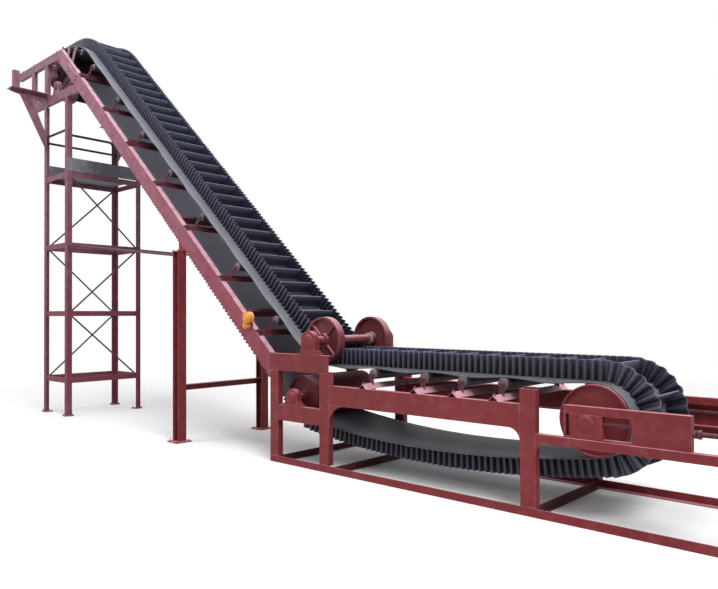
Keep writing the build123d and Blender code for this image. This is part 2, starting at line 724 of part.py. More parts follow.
def takeup_parts():
    """Take-up frames set back on the tail rails, with sliding bearing blocks and their screws."""
    parts = {name: [] for name in ("takeup_frames", "takeup_bearings", "takeup_screws")}
    base, top = TAIL_RAIL_TOP, TAIL_RAIL_TOP + TAKEUP_HEIGHT
    x, axis_z = TAIL_DRUM["x"], TAIL_DRUM["z"]
    left, right = x - TAKEUP_BLOCK_LENGTH / 2, x + TAKEUP_BLOCK_LENGTH / 2
    for side in SIDES:
        y0 = side * (FRAME_HALF - TAKEUP_SETBACK)
        y1 = y0 - side * TAKEUP_WIDTH
        low = block(TAKEUP_START_X, TAKEUP_END_X, y0, y1, base, base + TAKEUP_LOW_BAR)
        high = block(TAKEUP_START_X, TAKEUP_END_X, y0, y1, top - TAKEUP_TOP_BAR, top)
        head = block(TAKEUP_START_X, TAKEUP_START_X + TAKEUP_END_PLATE, y0, y1, base, top)
        tail = block(TAKEUP_END_X - TAKEUP_END_PLATE, TAKEUP_END_X, y0, y1, base, top)
        cover = block(TAKEUP_PLATE_X, TAKEUP_END_X, y0, y0 - side * CHANNEL_WEB, base, top)
        frame = low.fuse(high).fuse(head).fuse(tail).fuse(cover)
        screw_y = (y0 + y1) / 2
        hole = rod((TAKEUP_END_X - 2 * TAKEUP_END_PLATE, screw_y, axis_z),
                   (TAKEUP_END_X + TAKEUP_END_PLATE, screw_y, axis_z), TAKEUP_SCREW_RADIUS + BELT_GAP)
        parts["takeup_frames"].append(frame.cut(hole))
        face = y0 + side * TAKEUP_LIP
        body = block(left, right, face, y1, base + TAKEUP_LOW_BAR, top - TAKEUP_TOP_BAR)
        cap = rod((x, face, axis_z), (x, face + side * TAKEUP_LIP, axis_z), TAKEUP_CAP_RADIUS)
        bore = rod((x, y0, axis_z), (x, y1 - side, axis_z), TAIL_DRUM["shaft"] + RUNNING_GAP)
        parts["takeup_bearings"].append(body.fuse(cap).cut(bore).solids()[0])
        screw = rod((right, screw_y, axis_z), (TAKEUP_SCREW_END_X, screw_y, axis_z), TAKEUP_SCREW_RADIUS)
        nut = rod((TAKEUP_END_X, screw_y, axis_z), (TAKEUP_END_X + TAKEUP_NUT, screw_y, axis_z), TAKEUP_NUT)
        parts["takeup_screws"].append(screw.fuse(nut))
    return parts


# Incline


def incline_parts():
    """The two incline beams, their cross ties, and the bolted plates that join them to the rafters."""
    beams, ties, splices = [], [], []
    top_end = Vector(SPLICE_X, 0, incline_top(SPLICE_X))
    foot = Vector(INCLINE_DEPTH, 0, incline_top(INCLINE_DEPTH))
    past_post = block(0, 2 * INCLINE_DEPTH, -CUT_REACH, CUT_REACH, 0, INCLINE_TOP_AT_BOX)
    for side in SIDES:
        edge = Vector(0, outer_y(side), 0)
        long_beam = beam(channel(INCLINE_DEPTH), foot + edge, top_end + edge, inward(side), OUTWARD)
        beams.append(long_beam.cut(past_post).solids()[0])
        splices.append(splice_plate(top_end + edge, side))
    half = FRAME_HALF - CHANNEL_WEB
    for x in TIE_X:
        at = Vector(x, -half, incline_top(x)) - OUTWARD * TIE_DROP
        ties.append(beam(channel(TIE_SIZE, *TIE_CHANNEL), at, at + Vector(0, 2 * half, 0), UPHILL, OUTWARD))
    return {"incline_beams": beams, "incline_ties": ties, "splice_plates": splices}


def splice_plate(at, side):
    """A bolted plate over the joint of an incline beam and a rafter."""
    middle = at - OUTWARD * INCLINE_DEPTH / 2
    half = SPLICE_WIDTH / 2
    start = middle - UPHILL * SPLICE_LENGTH / 2
    solid = beam([(0, half), (SPLICE_THICK, half), (SPLICE_THICK, -half), (0, -half)], start,
                 start + UPHILL * SPLICE_LENGTH, Vector(0, side, 0), OUTWARD)
    corners = [math.radians(60 * k) for k in range(6)]
    spokes = [(math.cos(turn) * BOLT_RADIUS, math.sin(turn) * BOLT_RADIUS) for turn in corners]
    for along in (-3, -1, 1, 3):
        for up in (-1, 1):
            centre = middle + UPHILL * along * SPLICE_LENGTH / 8 + OUTWARD * up * SPLICE_WIDTH / 4
            face = centre + Vector(0, side * SPLICE_THICK, 0)
            solid = solid.fuse(beam(spokes, face, face + Vector(0, side * BOLT_HEAD, 0), UPHILL, OUTWARD))
    return solid


def idler(at, ahead, out, drop, reach):
    """An idler at a point of the pulley face: cross member, two brackets, roller and its shaft."""
    peak = ANGLE_LEG * math.sqrt(0.5)
    seat = at - out * drop
    skin = ANGLE_THICK * math.sqrt(2)
    profile = [(-peak, 0), (0, peak), (peak, 0), (peak - skin, 0), (0, peak - skin), (skin - peak, 0)]
    start = seat + Vector(0, -reach, 0)
    cross = beam(profile, start, start + Vector(0, 2 * reach, 0), ahead, out)
    axis = at - out * (ROLLER_RADIUS + BELT_GAP)
    brackets = []
    rise = drop - ROLLER_RADIUS - BELT_GAP
    half = BRACKET_WIDTH / 2
    level = peak - half
    for side in SIDES:
        y0 = side * BRACKET_Y
        root = seat + Vector(0, y0, 0)
        stem = beam([(-half, level), (half, level), (half, rise), (-half, rise)], root,
                    root + Vector(0, side * BRACKET_THICK, 0), ahead, out)
        eye = rod(axis + Vector(0, y0, 0), axis + Vector(0, y0 + side * BRACKET_THICK, 0), BRACKET_EYE)
        notch = beam([(0, peak), (-half, level), (half, level)], root - Vector(0, side, 0),
                     root + Vector(0, side * (BRACKET_THICK + 1), 0), ahead, out)
        hole = rod(axis + Vector(0, y0 - side, 0), axis + Vector(0, y0 + side * (BRACKET_THICK + 1), 0),
                   ROLLER_SHAFT + BELT_GAP)
        brackets.append(stem.fuse(eye).cut(notch).cut(hole).solids()[0])
    end = BRACKET_Y + BRACKET_THICK + ROLLER_SHAFT
    roller = rod(axis - Vector(0, ROLLER_HALF, 0), axis + Vector(0, ROLLER_HALF, 0), ROLLER_RADIUS)
    pin = rod(axis - Vector(0, end, 0), axis + Vector(0, end, 0), ROLLER_SHAFT)
    return cross, brackets, roller.fuse(pin)


def idler_parts():
    """Carrying idlers of both sections, and the three rollers of the crest between their side brackets."""
    press = Vector(PRESS_WHEEL["x"], 0, PRESS_WHEEL["z"])
    on_line = press + OUTWARD * signed_radius(PRESS_WHEEL, False)
    drop = (on_line - Vector(0, 0, INCLINE_TOP_AT_BOX)).dot(OUTWARD)
    spots = []
    for x in IDLER_X:
        spots.append((Vector(x, 0, incline_top(x)) + OUTWARD * drop, UPHILL, OUTWARD, drop))
    line = belt_runs()["lower_carry"][0]
    far_x = place(line, 1.0, 0.0)[0]
    for x in LOWER_IDLER_X:
        share = (line["at"][0] - x) / (line["at"][0] - far_x)
        z = place(line, share, 0.0)[1]
        spots.append((Vector(x, 0, z), Vector(-1, 0, 0), UP, z - LOWER_BEAM_TOP))
    crosses, brackets, rollers = [], [], []
    for at, ahead, out, fall in spots:
        cross, pair, roller = idler(at, ahead, out, fall, FRAME_HALF)
        crosses.append(cross)
        brackets += pair
        rollers.append(roller)
    crest_brackets, crest_rollers = crest_parts()
    return {"idler_members": crosses, "idler_brackets": brackets, "idler_rollers": rollers + crest_rollers,
            "crest_brackets": crest_brackets}


def crest_parts():
    """Radial brackets on the flange edges of the head frame, each pair with a roller of the crest."""
    x, z = crest_centre()
    centre = Vector(x, 0, z)
    face = FRAME_HALF - HEAD_CHANNEL_WIDTH
    half = CREST_BRACKET_WIDTH / 2
    axle = CREST_RADIUS - ROLLER_RADIUS - BELT_GAP
    brackets, rollers = [], []
    for angle in CREST_ROLLER_ANGLES:
        turn = math.radians(angle)
        ray = Vector(math.sin(turn), 0, math.cos(turn))
        flank = Vector(math.cos(turn), 0, -math.sin(turn))
        axis = centre + ray * axle
        for side in SIDES:
            root = centre + Vector(0, side * face, 0)
            depth = Vector(0, -side * BRACKET_THICK, 0)
            stem = beam([(-half, CREST_BRACKET_FOOT), (half, CREST_BRACKET_FOOT), (half, axle), (-half, axle)],
                        root, root + depth, flank, ray)
            eye_at = axis + Vector(0, side * face, 0)
            eye = rod(eye_at, eye_at + depth, half)
            hole = rod(eye_at - depth, eye_at + depth * 2, ROLLER_SHAFT + BELT_GAP)
            brackets.append(stem.fuse(eye).cut(hole).solids()[0])
        tube = rod(axis - Vector(0, ROLLER_HALF, 0), axis + Vector(0, ROLLER_HALF, 0), ROLLER_RADIUS)
        end = Vector(0, face - 1, 0)
        rollers.append(tube.fuse(rod(axis - end, axis + end, ROLLER_SHAFT)))
    return brackets, rollers


# Trestle


def trestle_parts():
    legs, saddles = [], []
    half = TRESTLE_SECTION / 2
    x = TRESTLE_X
    left, right = x - half, x + half
    under = INCLINE_DEPTH / math.cos(INCLINE)
    centre_y = FRAME_HALF + TRESTLE_OVERHANG - half
    cap_top = TRESTLE_TOP + FOOT_THICK
    outline = [(left, cap_top), (right, cap_top), (right, incline_top(right) - under),
               (left, incline_top(left) - under)]
    spread = TRESTLE_FOOT / 2
    for side in SIDES:
        y = side * centre_y
        leg = beam(h_section(TRESTLE_SECTION, TRESTLE_WEB, TRESTLE_FLANGE), (x, y, FOOT_THICK),
                   (x, y, TRESTLE_TOP), Vector(0, 1, 0), Vector(1, 0, 0))
        legs.append(leg.fuse(block(x - spread, x + spread, y - spread, y + spread, 0, FOOT_THICK)))
        saddle = block(left - CAP_EDGE, right + CAP_EDGE, side * (FRAME_HALF - CHANNEL_WIDTH),
                       side * (centre_y + half), TRESTLE_TOP, cap_top)
        for inset in (0.0, CHANNEL_WIDTH - TRESTLE_FLANGE):
            y0 = side * (FRAME_HALF - inset)
            saddle = saddle.fuse(plate(outline, y0, y0 - side * TRESTLE_FLANGE))
        saddles.append(saddle)
    span = centre_y - TRESTLE_WEB / 2
    tie_x = x - TRESTLE_TIE / 2
    tie = beam(angle_bar(TRESTLE_TIE, ANGLE_THICK), (tie_x, -span, TRESTLE_TIE_TOP),
               (tie_x, span, TRESTLE_TIE_TOP), Vector(1, 0, 0), UP)
    return {"trestle_legs": legs, "trestle_saddles": saddles, "trestle_tie": [tie]}


# Tower


def tower_parts():
    legs, side_ties, end_ties, rods = [], [], [], []
    half = TOWER_LEG / 2
    spread = half + TOWER_FOOT_EDGE
    for x, facing in zip(TOWER_X, (1, -1)):
        for side in SIDES:
            start = Vector(x - facing * half, outer_y(side), FOOT_THICK)
            leg = beam(angle_bar(TOWER_LEG, TOWER_LEG_THICK), start, start + UP * (TOWER_TOP - FOOT_THICK),
                       inward(side), Vector(-facing, 0, 0))
            y = side * (FRAME_HALF - half)
            legs.append(leg.fuse(block(x - spread, x + spread, y - spread, y + spread, 0, FOOT_THICK)))
    x0, x1 = TOWER_X[0] - half + TOWER_LEG_THICK, TOWER_X[1] + half - TOWER_LEG_THICK
    inner_y = FRAME_HALF - TOWER_LEG_THICK
    end_y = inner_y - TOWER_TIE_THICK
    for top in TIE_TOPS:
        for side in SIDES:
            side_ties.append(block(x0, x1, side * inner_y, side * end_y, top - TOWER_TIE, top))
        for xa, xb in ((x0, x0 + TOWER_TIE_THICK), (x1 - TOWER_TIE_THICK, x1)):
            end_ties.append(block(xa, xb, -end_y, end_y, top - TOWER_TIE, top))
    inset = TOWER_TIE_THICK + BRACE_SIZE / 2
    reach = end_y - BRACE_SIZE
    for level, (low, high) in enumerate(zip(TIE_TOPS, TIE_TOPS[1:])):
        for end, x in enumerate((x0 + inset, x1 - inset)):
            lean = 1 if (level + end) % 2 else -1
            rods.append(rod((x, -lean * reach, low - TOWER_TIE / 2), (x, lean * reach, high - TOWER_TIE / 2),
                            BRACE_SIZE / 2))
    return {"tower_legs": legs, "tower_side_ties": side_ties, "tower_end_ties": end_ties,
            "bracing_rods": rods + stays()}


def stays():
    """Round stays from the tower to the trestle, one on each side."""
    bars = []
    tower_face = TOWER_X[1] + TOWER_LEG / 2
    trestle_face = TRESTLE_X - TRESTLE_SECTION / 2
    slope = (STAY_TRESTLE_Z - STAY_TOWER_Z) / (trestle_face - tower_face)
    over = TOWER_LEG
    for side in SIDES:
        y = side * (FRAME_HALF - STAY_RADIUS)
        bar = rod((tower_face - over, y, STAY_TOWER_Z - over * slope),
                  (trestle_face + over, y, STAY_TRESTLE_Z + over * slope), STAY_RADIUS)
        for x0, x1 in ((tower_face - 2 * over, tower_face), (trestle_face, trestle_face + 2 * over)):
            bar = bar.cut(block(x0, x1, y - over, y + over, STAY_TRESTLE_Z - over, STAY_TOWER_Z + over))
        bars.append(bar.solids()[0])
    return bars


def platform_parts():
    half = TOWER_LEG / 2
    x0, x1 = TOWER_X[0] - half, TOWER_X[1] + half
    floor_z = TIE_TOPS[-1]
    deck_top = floor_z + DECK_THICK
    inner = FRAME_HALF - TOWER_LEG
    overlap = TOWER_LEG_THICK + TOWER_TIE_THICK
    deck = block(x0 + overlap, x1 - overlap, -inner, inner, floor_z, deck_top)
    boards = []
    for xa in (x0 - BOARD_THICK, x1):
        boards.append(block(xa, xa + BOARD_THICK, -FRAME_HALF, FRAME_HALF, floor_z + BOARD_GAP,
                            floor_z + BOARD_GAP + TOE_BOARD_HEIGHT))
    near, far = x0 + TOWER_LEG_THICK + RAIL_RADIUS, x1 - TOWER_LEG_THICK - RAIL_RADIUS
    reach = FRAME_HALF - TOWER_LEG_THICK
    z = HANDRAIL_Z
    head_rail = rod((near, -reach, z), (near, reach, z), RAIL_RADIUS)
    bent_rail = bent_rod([(far, -reach, z), (far, RAIL_END_Y, z), (far, RAIL_END_Y, deck_top)],
                         RAIL_BEND, RAIL_RADIUS)
    side_y = RAIL_RADIUS - reach
    side_rail = rod((x0 + TOWER_LEG_THICK, side_y, SIDE_RAIL_Z), (x1 - TOWER_LEG_THICK, side_y, SIDE_RAIL_Z),
                    RAIL_RADIUS)
    return {"platform": [deck], "toe_boards": boards, "handrails": [head_rail, bent_rail, side_rail]}


# Head


def head_parts():
    parts = {name: [] for name in ("head_chords", "head_posts", "head_rafters")}
    width = HEAD_CHANNEL_WIDTH
    splice = Vector(SPLICE_X, 0, incline_top(SPLICE_X))
    chord_base = LOWER_CHORD_TOP - LOWER_CHORD_DEPTH
    fall = INCLINE_DEPTH / math.cos(INCLINE)
    chord_start = -(chord_base + fall - INCLINE_TOP_AT_BOX) / math.tan(INCLINE)
    low_x, high_x = chord_start + CUT_MARGIN, HEAD_END_X
    over_rafter = plate([(low_x, incline_top(low_x) - fall), (high_x, incline_top(high_x) - fall),
                         (low_x, incline_top(high_x))], -CUT_REACH, CUT_REACH)
    joint_x = chord_joint_x()
    sky = UPPER_CHORD_TOP + CUT_REACH
    past_joint = block(HEAD_END_X, joint_x, -CUT_REACH, CUT_REACH, chord_base, sky)
    above = block(HEAD_END_X, SPLICE_X, -CUT_REACH, CUT_REACH, UPPER_CHORD_TOP, sky)
    rafter_end = splice + UPHILL * (SPLICE_X - joint_x + INCLINE_DEPTH) / math.cos(INCLINE)
    for side in SIDES:
        edge = Vector(0, outer_y(side), 0)
        upper = level_channel(HEAD_END_X, joint_x, UPPER_CHORD_TOP, UPPER_CHORD_DEPTH, side, width)
        lower = level_channel(LOWER_CHORD_END_X, chord_start, LOWER_CHORD_TOP, LOWER_CHORD_DEPTH, side, width)
        parts["head_chords"] += [upper, lower.cut(over_rafter).solids()[0]]
        parts["head_posts"] += [head_post(x, side) for x in HEAD_POST_X]
        rafter = beam(channel(INCLINE_DEPTH, width), splice + edge, rafter_end + edge, inward(side), OUTWARD)
        parts["head_rafters"].append(rafter.cut(past_joint).cut(above).solids()[0])
    return parts


def head_post(x, side):
    """A post of the head frame, with the bearing's seat and the driven shaft's hole at the drum."""
    y, axle_x, axle_z = outer_y(side), HEAD_DRUM["x"], HEAD_DRUM["z"]
    under = UPPER_CHORD_TOP - UPPER_CHORD_DEPTH
    upright = post(x, HEAD_POST_WIDTH, LOWER_CHORD_TOP, under, side, HEAD_CHANNEL_WIDTH)
    if not x < axle_x < x + HEAD_POST_WIDTH:
        return upright
    reach = HEAD_DRUM["shaft"] + HOUSING_WALL + BEARING_EAR
    seat_y = y - side * HEAD_CHANNEL_WIDTH
    seat_top = axle_z - HEAD_BEARING_RISE
    upright = upright.fuse(block(axle_x - reach, axle_x + reach, seat_y, seat_y - side * HEAD_SEAT_WIDTH,
                                 seat_top - HEAD_SEAT_DEPTH, seat_top))
    if side == DRIVE_SIDE:
        upright = upright.cut(rod((axle_x, y + side, axle_z), (axle_x, seat_y - side, axle_z),
                                  HEAD_DRUM["shaft"] + SHAFT_CLEARANCE))
    return upright.solids()[0]


def outrigger(side):
    """A shelf out from the head frame, with a rib under it and a knee strut down to the tower leg."""
    x, y = HEAD_DRUM["x"], outer_y(side)
    half = OUTRIGGER_WEB / 2
    deck = block(x - OUTRIGGER_WIDTH / 2, x + OUTRIGGER_WIDTH / 2, y, y + side * OUTRIGGER_REACH,
                 OUTRIGGER_TOP - OUTRIGGER_PLATE, OUTRIGGER_TOP)
    # reach from the frame, height
    strut_top = OUTRIGGER_TOP - OUTRIGGER_TIP
    rib = [(0, OUTRIGGER_TOP), (OUTRIGGER_REACH, OUTRIGGER_TOP), (OUTRIGGER_REACH, strut_top),
           (0, OUTRIGGER_TOP - OUTRIGGER_DEPTH)]
    strut = [(0, STRUT_FOOT_Z), (STRUT_REACH, strut_top), (STRUT_REACH - STRUT_WIDTH, strut_top),
             (0, STRUT_FOOT_Z + STRUT_WIDTH * 1.5)]
    solid = deck
    for outline in (rib, strut):
        corners = [Vector(x - half, y + side * reach, z) for reach, z in outline]
        solid = solid.fuse(Solid.extrude(polygon(corners), Vector(OUTRIGGER_WEB, 0, 0)))
    return solid


def drive_parts():
    """Outriggers on both sides, and the shaft-mounted drive with its motor on the far one."""
    x, z = HEAD_DRUM["x"], HEAD_DRUM["z"]
    side = DRIVE_SIDE
    near = outrigger(-side)
    tip = outer_y(-side) - side * OUTRIGGER_REACH
    stop = beam(channel(STOP_WIDTH, STOP_DEPTH, CHANNEL_WEB, CHANNEL_WEB),
                (x + STOP_DEPTH / 2, tip + side * STOP_INSET, OUTRIGGER_TOP),
                (x + STOP_DEPTH / 2, tip + side * STOP_INSET, OUTRIGGER_TOP + STOP_HEIGHT),
                Vector(-1, 0, 0), Vector(0, -side, 0))
    y_case = side * (FRAME_HALF + CASE_GAP)
    y_adapter = y_case + side * CASE_WIDTH
    y_motor = y_adapter + side * ADAPTER_LENGTH
    high = rod((x, y_case, z), (x, y_adapter, z), CASE_RADIUS)
    low = rod((x, y_case, MOTOR_Z), (x, y_adapter, MOTOR_Z), CASE_FOOT_RADIUS)
    waist = [(x - CASE_RADIUS, z), (x + CASE_RADIUS, z), (x + CASE_FOOT_RADIUS, MOTOR_Z),
             (x - CASE_FOOT_RADIUS, MOTOR_Z)]
    foot = block(x - CASE_FOOT / 2, x + CASE_FOOT / 2, y_case, y_adapter, OUTRIGGER_TOP, MOTOR_Z)
    case = high.fuse(low).fuse(plate(waist, y_case, y_adapter)).fuse(foot)
    hub = rod((x, y_case - side * CASE_HUB_PROUD, z), (x, y_adapter + side * CASE_HUB_PROUD, z),
              HEAD_DRUM["shaft"] + CASE_HUB_WALL)
    bore = rod((x, y_case - side * CASE_GAP, z), (x, y_adapter + side * CASE_GAP, z),
               HEAD_DRUM["shaft"] + RUNNING_GAP)
    case = case.fuse(hub).cut(bore).solids()[0]
    flange, wide, tight = ADAPTER_FLANGE, ADAPTER_RADIUS, ADAPTER_RADIUS * 0.75
    # distance along the drive, radius
    sleeve = [(0, 0), (0, wide), (flange, wide), (flange, tight), (ADAPTER_LENGTH - flange, tight),
              (ADAPTER_LENGTH - flange, wide), (ADAPTER_LENGTH, wide), (ADAPTER_LENGTH, 0)]
    adapter = turned([(y_adapter + side * u, r) for u, r in sleeve], x, MOTOR_Z)
    barrel, cover = MOTOR_RADIUS - MOTOR_COVER_STEP, MOTOR_LENGTH - MOTOR_COVER
    shell = [(0, 0), (0, wide), (flange, wide), (flange, barrel), (cover, barrel), (cover, MOTOR_RADIUS),
             (MOTOR_LENGTH - flange, MOTOR_RADIUS), (MOTOR_LENGTH, barrel), (MOTOR_LENGTH, 0)]
    motor = turned([(y_motor + side * u, r) for u, r in shell], x, MOTOR_Z)
    foot_y = (y_motor + side * flange, y_motor + side * cover)
    pad = block(x - MOTOR_FOOT / 2, x + MOTOR_FOOT / 2, *foot_y, OUTRIGGER_TOP, OUTRIGGER_TOP + flange)
    stem = block(x - MOTOR_FOOT / 3, x + MOTOR_FOOT / 3, *foot_y, OUTRIGGER_TOP, MOTOR_Z - barrel / 2)
    terminal = block(x - barrel - TERMINAL_PROUD, x - barrel / 2, *foot_y, MOTOR_Z - TERMINAL_PROUD,
                     MOTOR_Z + barrel / 2)
    motor = motor.fuse(pad).fuse(stem).fuse(terminal)
    return {"drive_outriggers": [near.fuse(stop), outrigger(side)], "gearbox": [case],
            "motor_adapter": [adapter], "motor": [motor]}


def switch_parts():
    """Safety switch with two round lobes on a bracket, outside the near incline beam."""
    face = -FRAME_HALF
    high = Vector(SWITCH_X, face, incline_top(SWITCH_X) + SWITCH_RISE)
    low = high - Vector(SWITCH_LEAN, 0, SWITCH_SPAN)
    # x, z from the upper lobe
    outline = [(SWITCH_RADIUS / 2, 0), (SWITCH_RADIUS / 2, -2 * SWITCH_RADIUS),
               (-2 * SWITCH_RADIUS, -2 * SWITCH_RADIUS), (-2 * SWITCH_RADIUS, -SWITCH_RADIUS)]
    bracket = plate([(high.X + u, high.Z + v) for u, v in outline], face, face - SWITCH_PLATE)
    # centre, radius, depth
    lobes = [(high, SWITCH_RADIUS, SWITCH_DEPTH), (low, SWITCH_LOW_RADIUS, SWITCH_LOW_DEPTH)]
    bodies = []
    for centre, radius, depth in lobes:
        face_at = centre + Vector(0, -SWITCH_PLATE - depth, 0)
        lobe = rod(centre + Vector(0, -SWITCH_PLATE, 0), face_at, radius)
        bodies.append(lobe.fuse(rod(face_at, face_at - Vector(0, SWITCH_CAP, 0), radius * 0.6)))
    return {"switch_bracket": [bracket], "belt_switch": [bodies[0].fuse(bodies[1])]}


def moving_parts():
    blind = BEARING_CAP + SHAFT_END_GAP
    end = FRAME_HALF - BEARING_SETBACK - blind
    tail_end = FRAME_HALF - TAKEUP_SETBACK - SHAFT_END_GAP
    head_end = FRAME_HALF - HEAD_CHANNEL_WIDTH - HEAD_BEARING_GAP - blind
    drive_end = FRAME_HALF + CASE_GAP + CASE_WIDTH + CASE_HUB_PROUD
    # name, roll, reach away from the drive, reach towards it
    shafts = [("tail_shaft", TAIL_DRUM, tail_end, tail_end), ("bend_shaft", BEND_DRUM, end, end),
              ("press_shaft", PRESS_WHEEL, end, end), ("return_shaft", RETURN_WHEEL, end, end),
              ("head_shaft", HEAD_DRUM, head_end, drive_end)]
    parts = {}
    for name, roll, away, towards in shafts:
        parts[name] = [shaft_pin(roll, -DRIVE_SIDE * away, DRIVE_SIDE * towards)]
    for name, roll in (("tail_drum", TAIL_DRUM), ("bend_drum", BEND_DRUM), ("head_drum", HEAD_DRUM)):
        parts[name] = [drum(roll)]
    for name, roll in (("press_wheels", PRESS_WHEEL), ("return_wheels", RETURN_WHEEL)):
        parts[name] = [edge_wheel(roll, side) for side in SIDES]
    return parts


def bearing_parts():
    outer = FRAME_HALF - BEARING_SETBACK
    head_outer = FRAME_HALF - HEAD_CHANNEL_WIDTH - HEAD_BEARING_GAP
    seats = [("press_bearings", PRESS_WHEEL, BOX_TOP), ("bend_bearings", BEND_DRUM, SHELF_TOP),
             ("return_bearings", RETURN_WHEEL, LOWER_CHORD_TOP)]
    parts = {name: [pillow_block(roll, side, seat_z, outer) for side in SIDES] for name, roll, seat_z in seats}
    x, z, y = HEAD_DRUM["x"], HEAD_DRUM["z"], DRIVE_SIDE * head_outer
    through = rod((x, y - DRIVE_SIDE * BEARING_WIDTH, z), (x, y + DRIVE_SIDE, z),
                  HEAD_DRUM["shaft"] + RUNNING_GAP)
    driven = pillow_block(HEAD_DRUM, DRIVE_SIDE, z - HEAD_BEARING_RISE, head_outer).cut(through).solids()[0]
    free = pillow_block(HEAD_DRUM, -DRIVE_SIDE, z - HEAD_BEARING_RISE, head_outer)
    parts["head_bearings"] = [driven, free]
    return parts


def write(name, solids):
    moved = [solid.moved(Location((-ORIGIN_X, 0, 0))) for solid in solids]
    export_step(Compound(children=moved), f"parts/{name}.step")


def main():
    os.makedirs("parts", exist_ok=True)
    parts = {}
    for group in (base_parts, box_parts, lower_parts, takeup_parts, incline_parts, idler_parts, trestle_parts,
                  tower_parts, platform_parts, head_parts, drive_parts, switch_parts, moving_parts,
                  bearing_parts, belt_parts):
        parts.update(group())
    for name, solids in parts.items():
        write(name, solids)


main()
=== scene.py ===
import json
import math
import random

import bpy
import numpy as np
from bpy.props import FloatProperty, FloatVectorProperty, IntProperty, PointerProperty
from mathutils import Matrix, Vector


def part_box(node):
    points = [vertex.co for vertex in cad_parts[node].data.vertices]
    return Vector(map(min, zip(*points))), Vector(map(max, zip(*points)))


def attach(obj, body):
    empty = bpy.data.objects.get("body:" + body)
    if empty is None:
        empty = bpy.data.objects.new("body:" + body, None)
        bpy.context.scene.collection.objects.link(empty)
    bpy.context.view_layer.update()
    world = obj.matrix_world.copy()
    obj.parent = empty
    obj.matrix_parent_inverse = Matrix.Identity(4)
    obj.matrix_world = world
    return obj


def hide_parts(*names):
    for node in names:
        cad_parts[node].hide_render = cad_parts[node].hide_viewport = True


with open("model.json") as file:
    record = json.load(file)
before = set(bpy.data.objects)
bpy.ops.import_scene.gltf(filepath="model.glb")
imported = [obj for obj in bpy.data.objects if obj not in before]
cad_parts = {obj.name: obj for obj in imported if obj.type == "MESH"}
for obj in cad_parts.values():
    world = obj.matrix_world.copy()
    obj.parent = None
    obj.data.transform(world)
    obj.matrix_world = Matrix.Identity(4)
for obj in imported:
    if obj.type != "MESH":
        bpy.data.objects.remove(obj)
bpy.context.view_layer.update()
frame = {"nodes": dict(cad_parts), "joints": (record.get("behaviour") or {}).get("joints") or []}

bl_info = {
    "name": "Steep incline conveyor",
    "version": (1, 0, 0),
    "blender": (4, 5, 0),
    "location": "3D View > Sidebar > Conveyor",
    "description": "Dresses the packed frame of a steep incline belt conveyor with corrugated sidewalls",
    "category": "Object",
}

JOINT_AT = {joint["child"]: Vector(joint["pos_m"]) for joint in frame["joints"]}
NODES = frame["nodes"]
FRAME_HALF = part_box("base_rails")[1].y
BELT_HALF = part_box("belt_straight_runs")[1].y
WALL_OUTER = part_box("sidewalls_straight_runs")[1].y
SIDES = (-1, 1)
ALONG_X, ALONG_Y, ALONG_Z = Vector((1, 0, 0)), Vector((0, 1, 0)), Vector((0, 0, 1))
FULL_TURN = 2 * math.pi


# Settings


def measure(name, description, default, subtype="DISTANCE", unit="LENGTH"):
    """A setting that is a length unless told otherwise."""
    return FloatProperty(name=name, description=description, default=default, subtype=subtype, unit=unit)


def colour_setting(name, description, default):
    return FloatVectorProperty(name=name, description=description, default=default, subtype="COLOR",
                               min=0, max=1)


class BeltSettings(bpy.types.PropertyGroup):
    """Sizes of the belt, its sidewalls and its cleats."""

    thickness: measure("Thickness", "Belt carcass thickness", 0.010)
    gap: measure("Gap", "Clearance between belt and rolls", 0.0003)
    wave: measure("Wave length", "Length of one sidewall wave", 0.057)
    wave_depth: measure("Wave depth", "Depth of the sidewall waves across the belt", 0.050)
    wall_height: measure("Sidewall height", "Height of the sidewalls", 0.150)
    wall_thickness: measure("Sidewall thickness", "Rubber thickness of the sidewalls", 0.0065)
    cleat_height: measure("Cleat height", "Height of the cross cleats", 0.135)
    cleat_every: IntProperty(name="Waves per cleat", description="Waves from cleat to cleat", default=4)
    incline: measure("Incline", "Angle of the steep run", math.radians(42.35), "ANGLE", "ROTATION")
    crest_radius: measure("Crest radius", "Radius of the convex curve under the head", 0.900)
    sag_radius: measure("Sag radius", "Radius of the slack lower run", 9.0)
    margin_droop: measure("Margin droop", "How far the free margins hang between idlers", 0.020)


class FinishSettings(bpy.types.PropertyGroup):
    """Colours of the paint and the rubber."""

    primer: colour_setting("Primer", "Red oxide primer on the frame", (0.198, 0.028, 0.032))
    # the dusty primer is also the painted highlight on the primer's edges
    primer_dust: colour_setting("Dusty primer", "Primer where dust lies on it", (0.60, 0.27, 0.31))
    belt_rubber: colour_setting("Belt", "Dusty cover of the flat belt", (0.046, 0.047, 0.056))
    wall_rubber: colour_setting("Sidewall", "Rubber of the sidewalls and cleats", (0.0085, 0.008, 0.0145))


class StageSettings(bpy.types.PropertyGroup):
    """Camera and light."""

    camera_at: FloatVectorProperty(name="Camera", description="Camera position", subtype="XYZ",
                                   default=(4.3244, -4.9597, 1.43), unit="LENGTH")
    yaw: measure("Yaw", "Turn of the view from +Y towards -X", 0.7405, "ANGLE", "ROTATION")
    pitch: measure("Pitch", "Upward tilt of the view", 0.0115, "ANGLE", "ROTATION")
    roll: measure("Roll", "Roll of the view", -0.0035, "ANGLE", "ROTATION")
    lens: measure("Lens", "Focal length in millimetres", 34.235, "NONE", "NONE")
    shift_up: measure("Shift", "Vertical shift of the frame", 0.0178, "NONE", "NONE")
    world_strength: measure("World light", "Strength of the even light", 0.62, "NONE", "NONE")


# Mesh making


def new_object(name, verts, faces):
    mesh = bpy.data.meshes.new(name)
    mesh.from_pydata([tuple(v) for v in verts], [], faces)
    made = bpy.data.objects.new(name, mesh)
    bpy.context.scene.collection.objects.link(made)
    return made


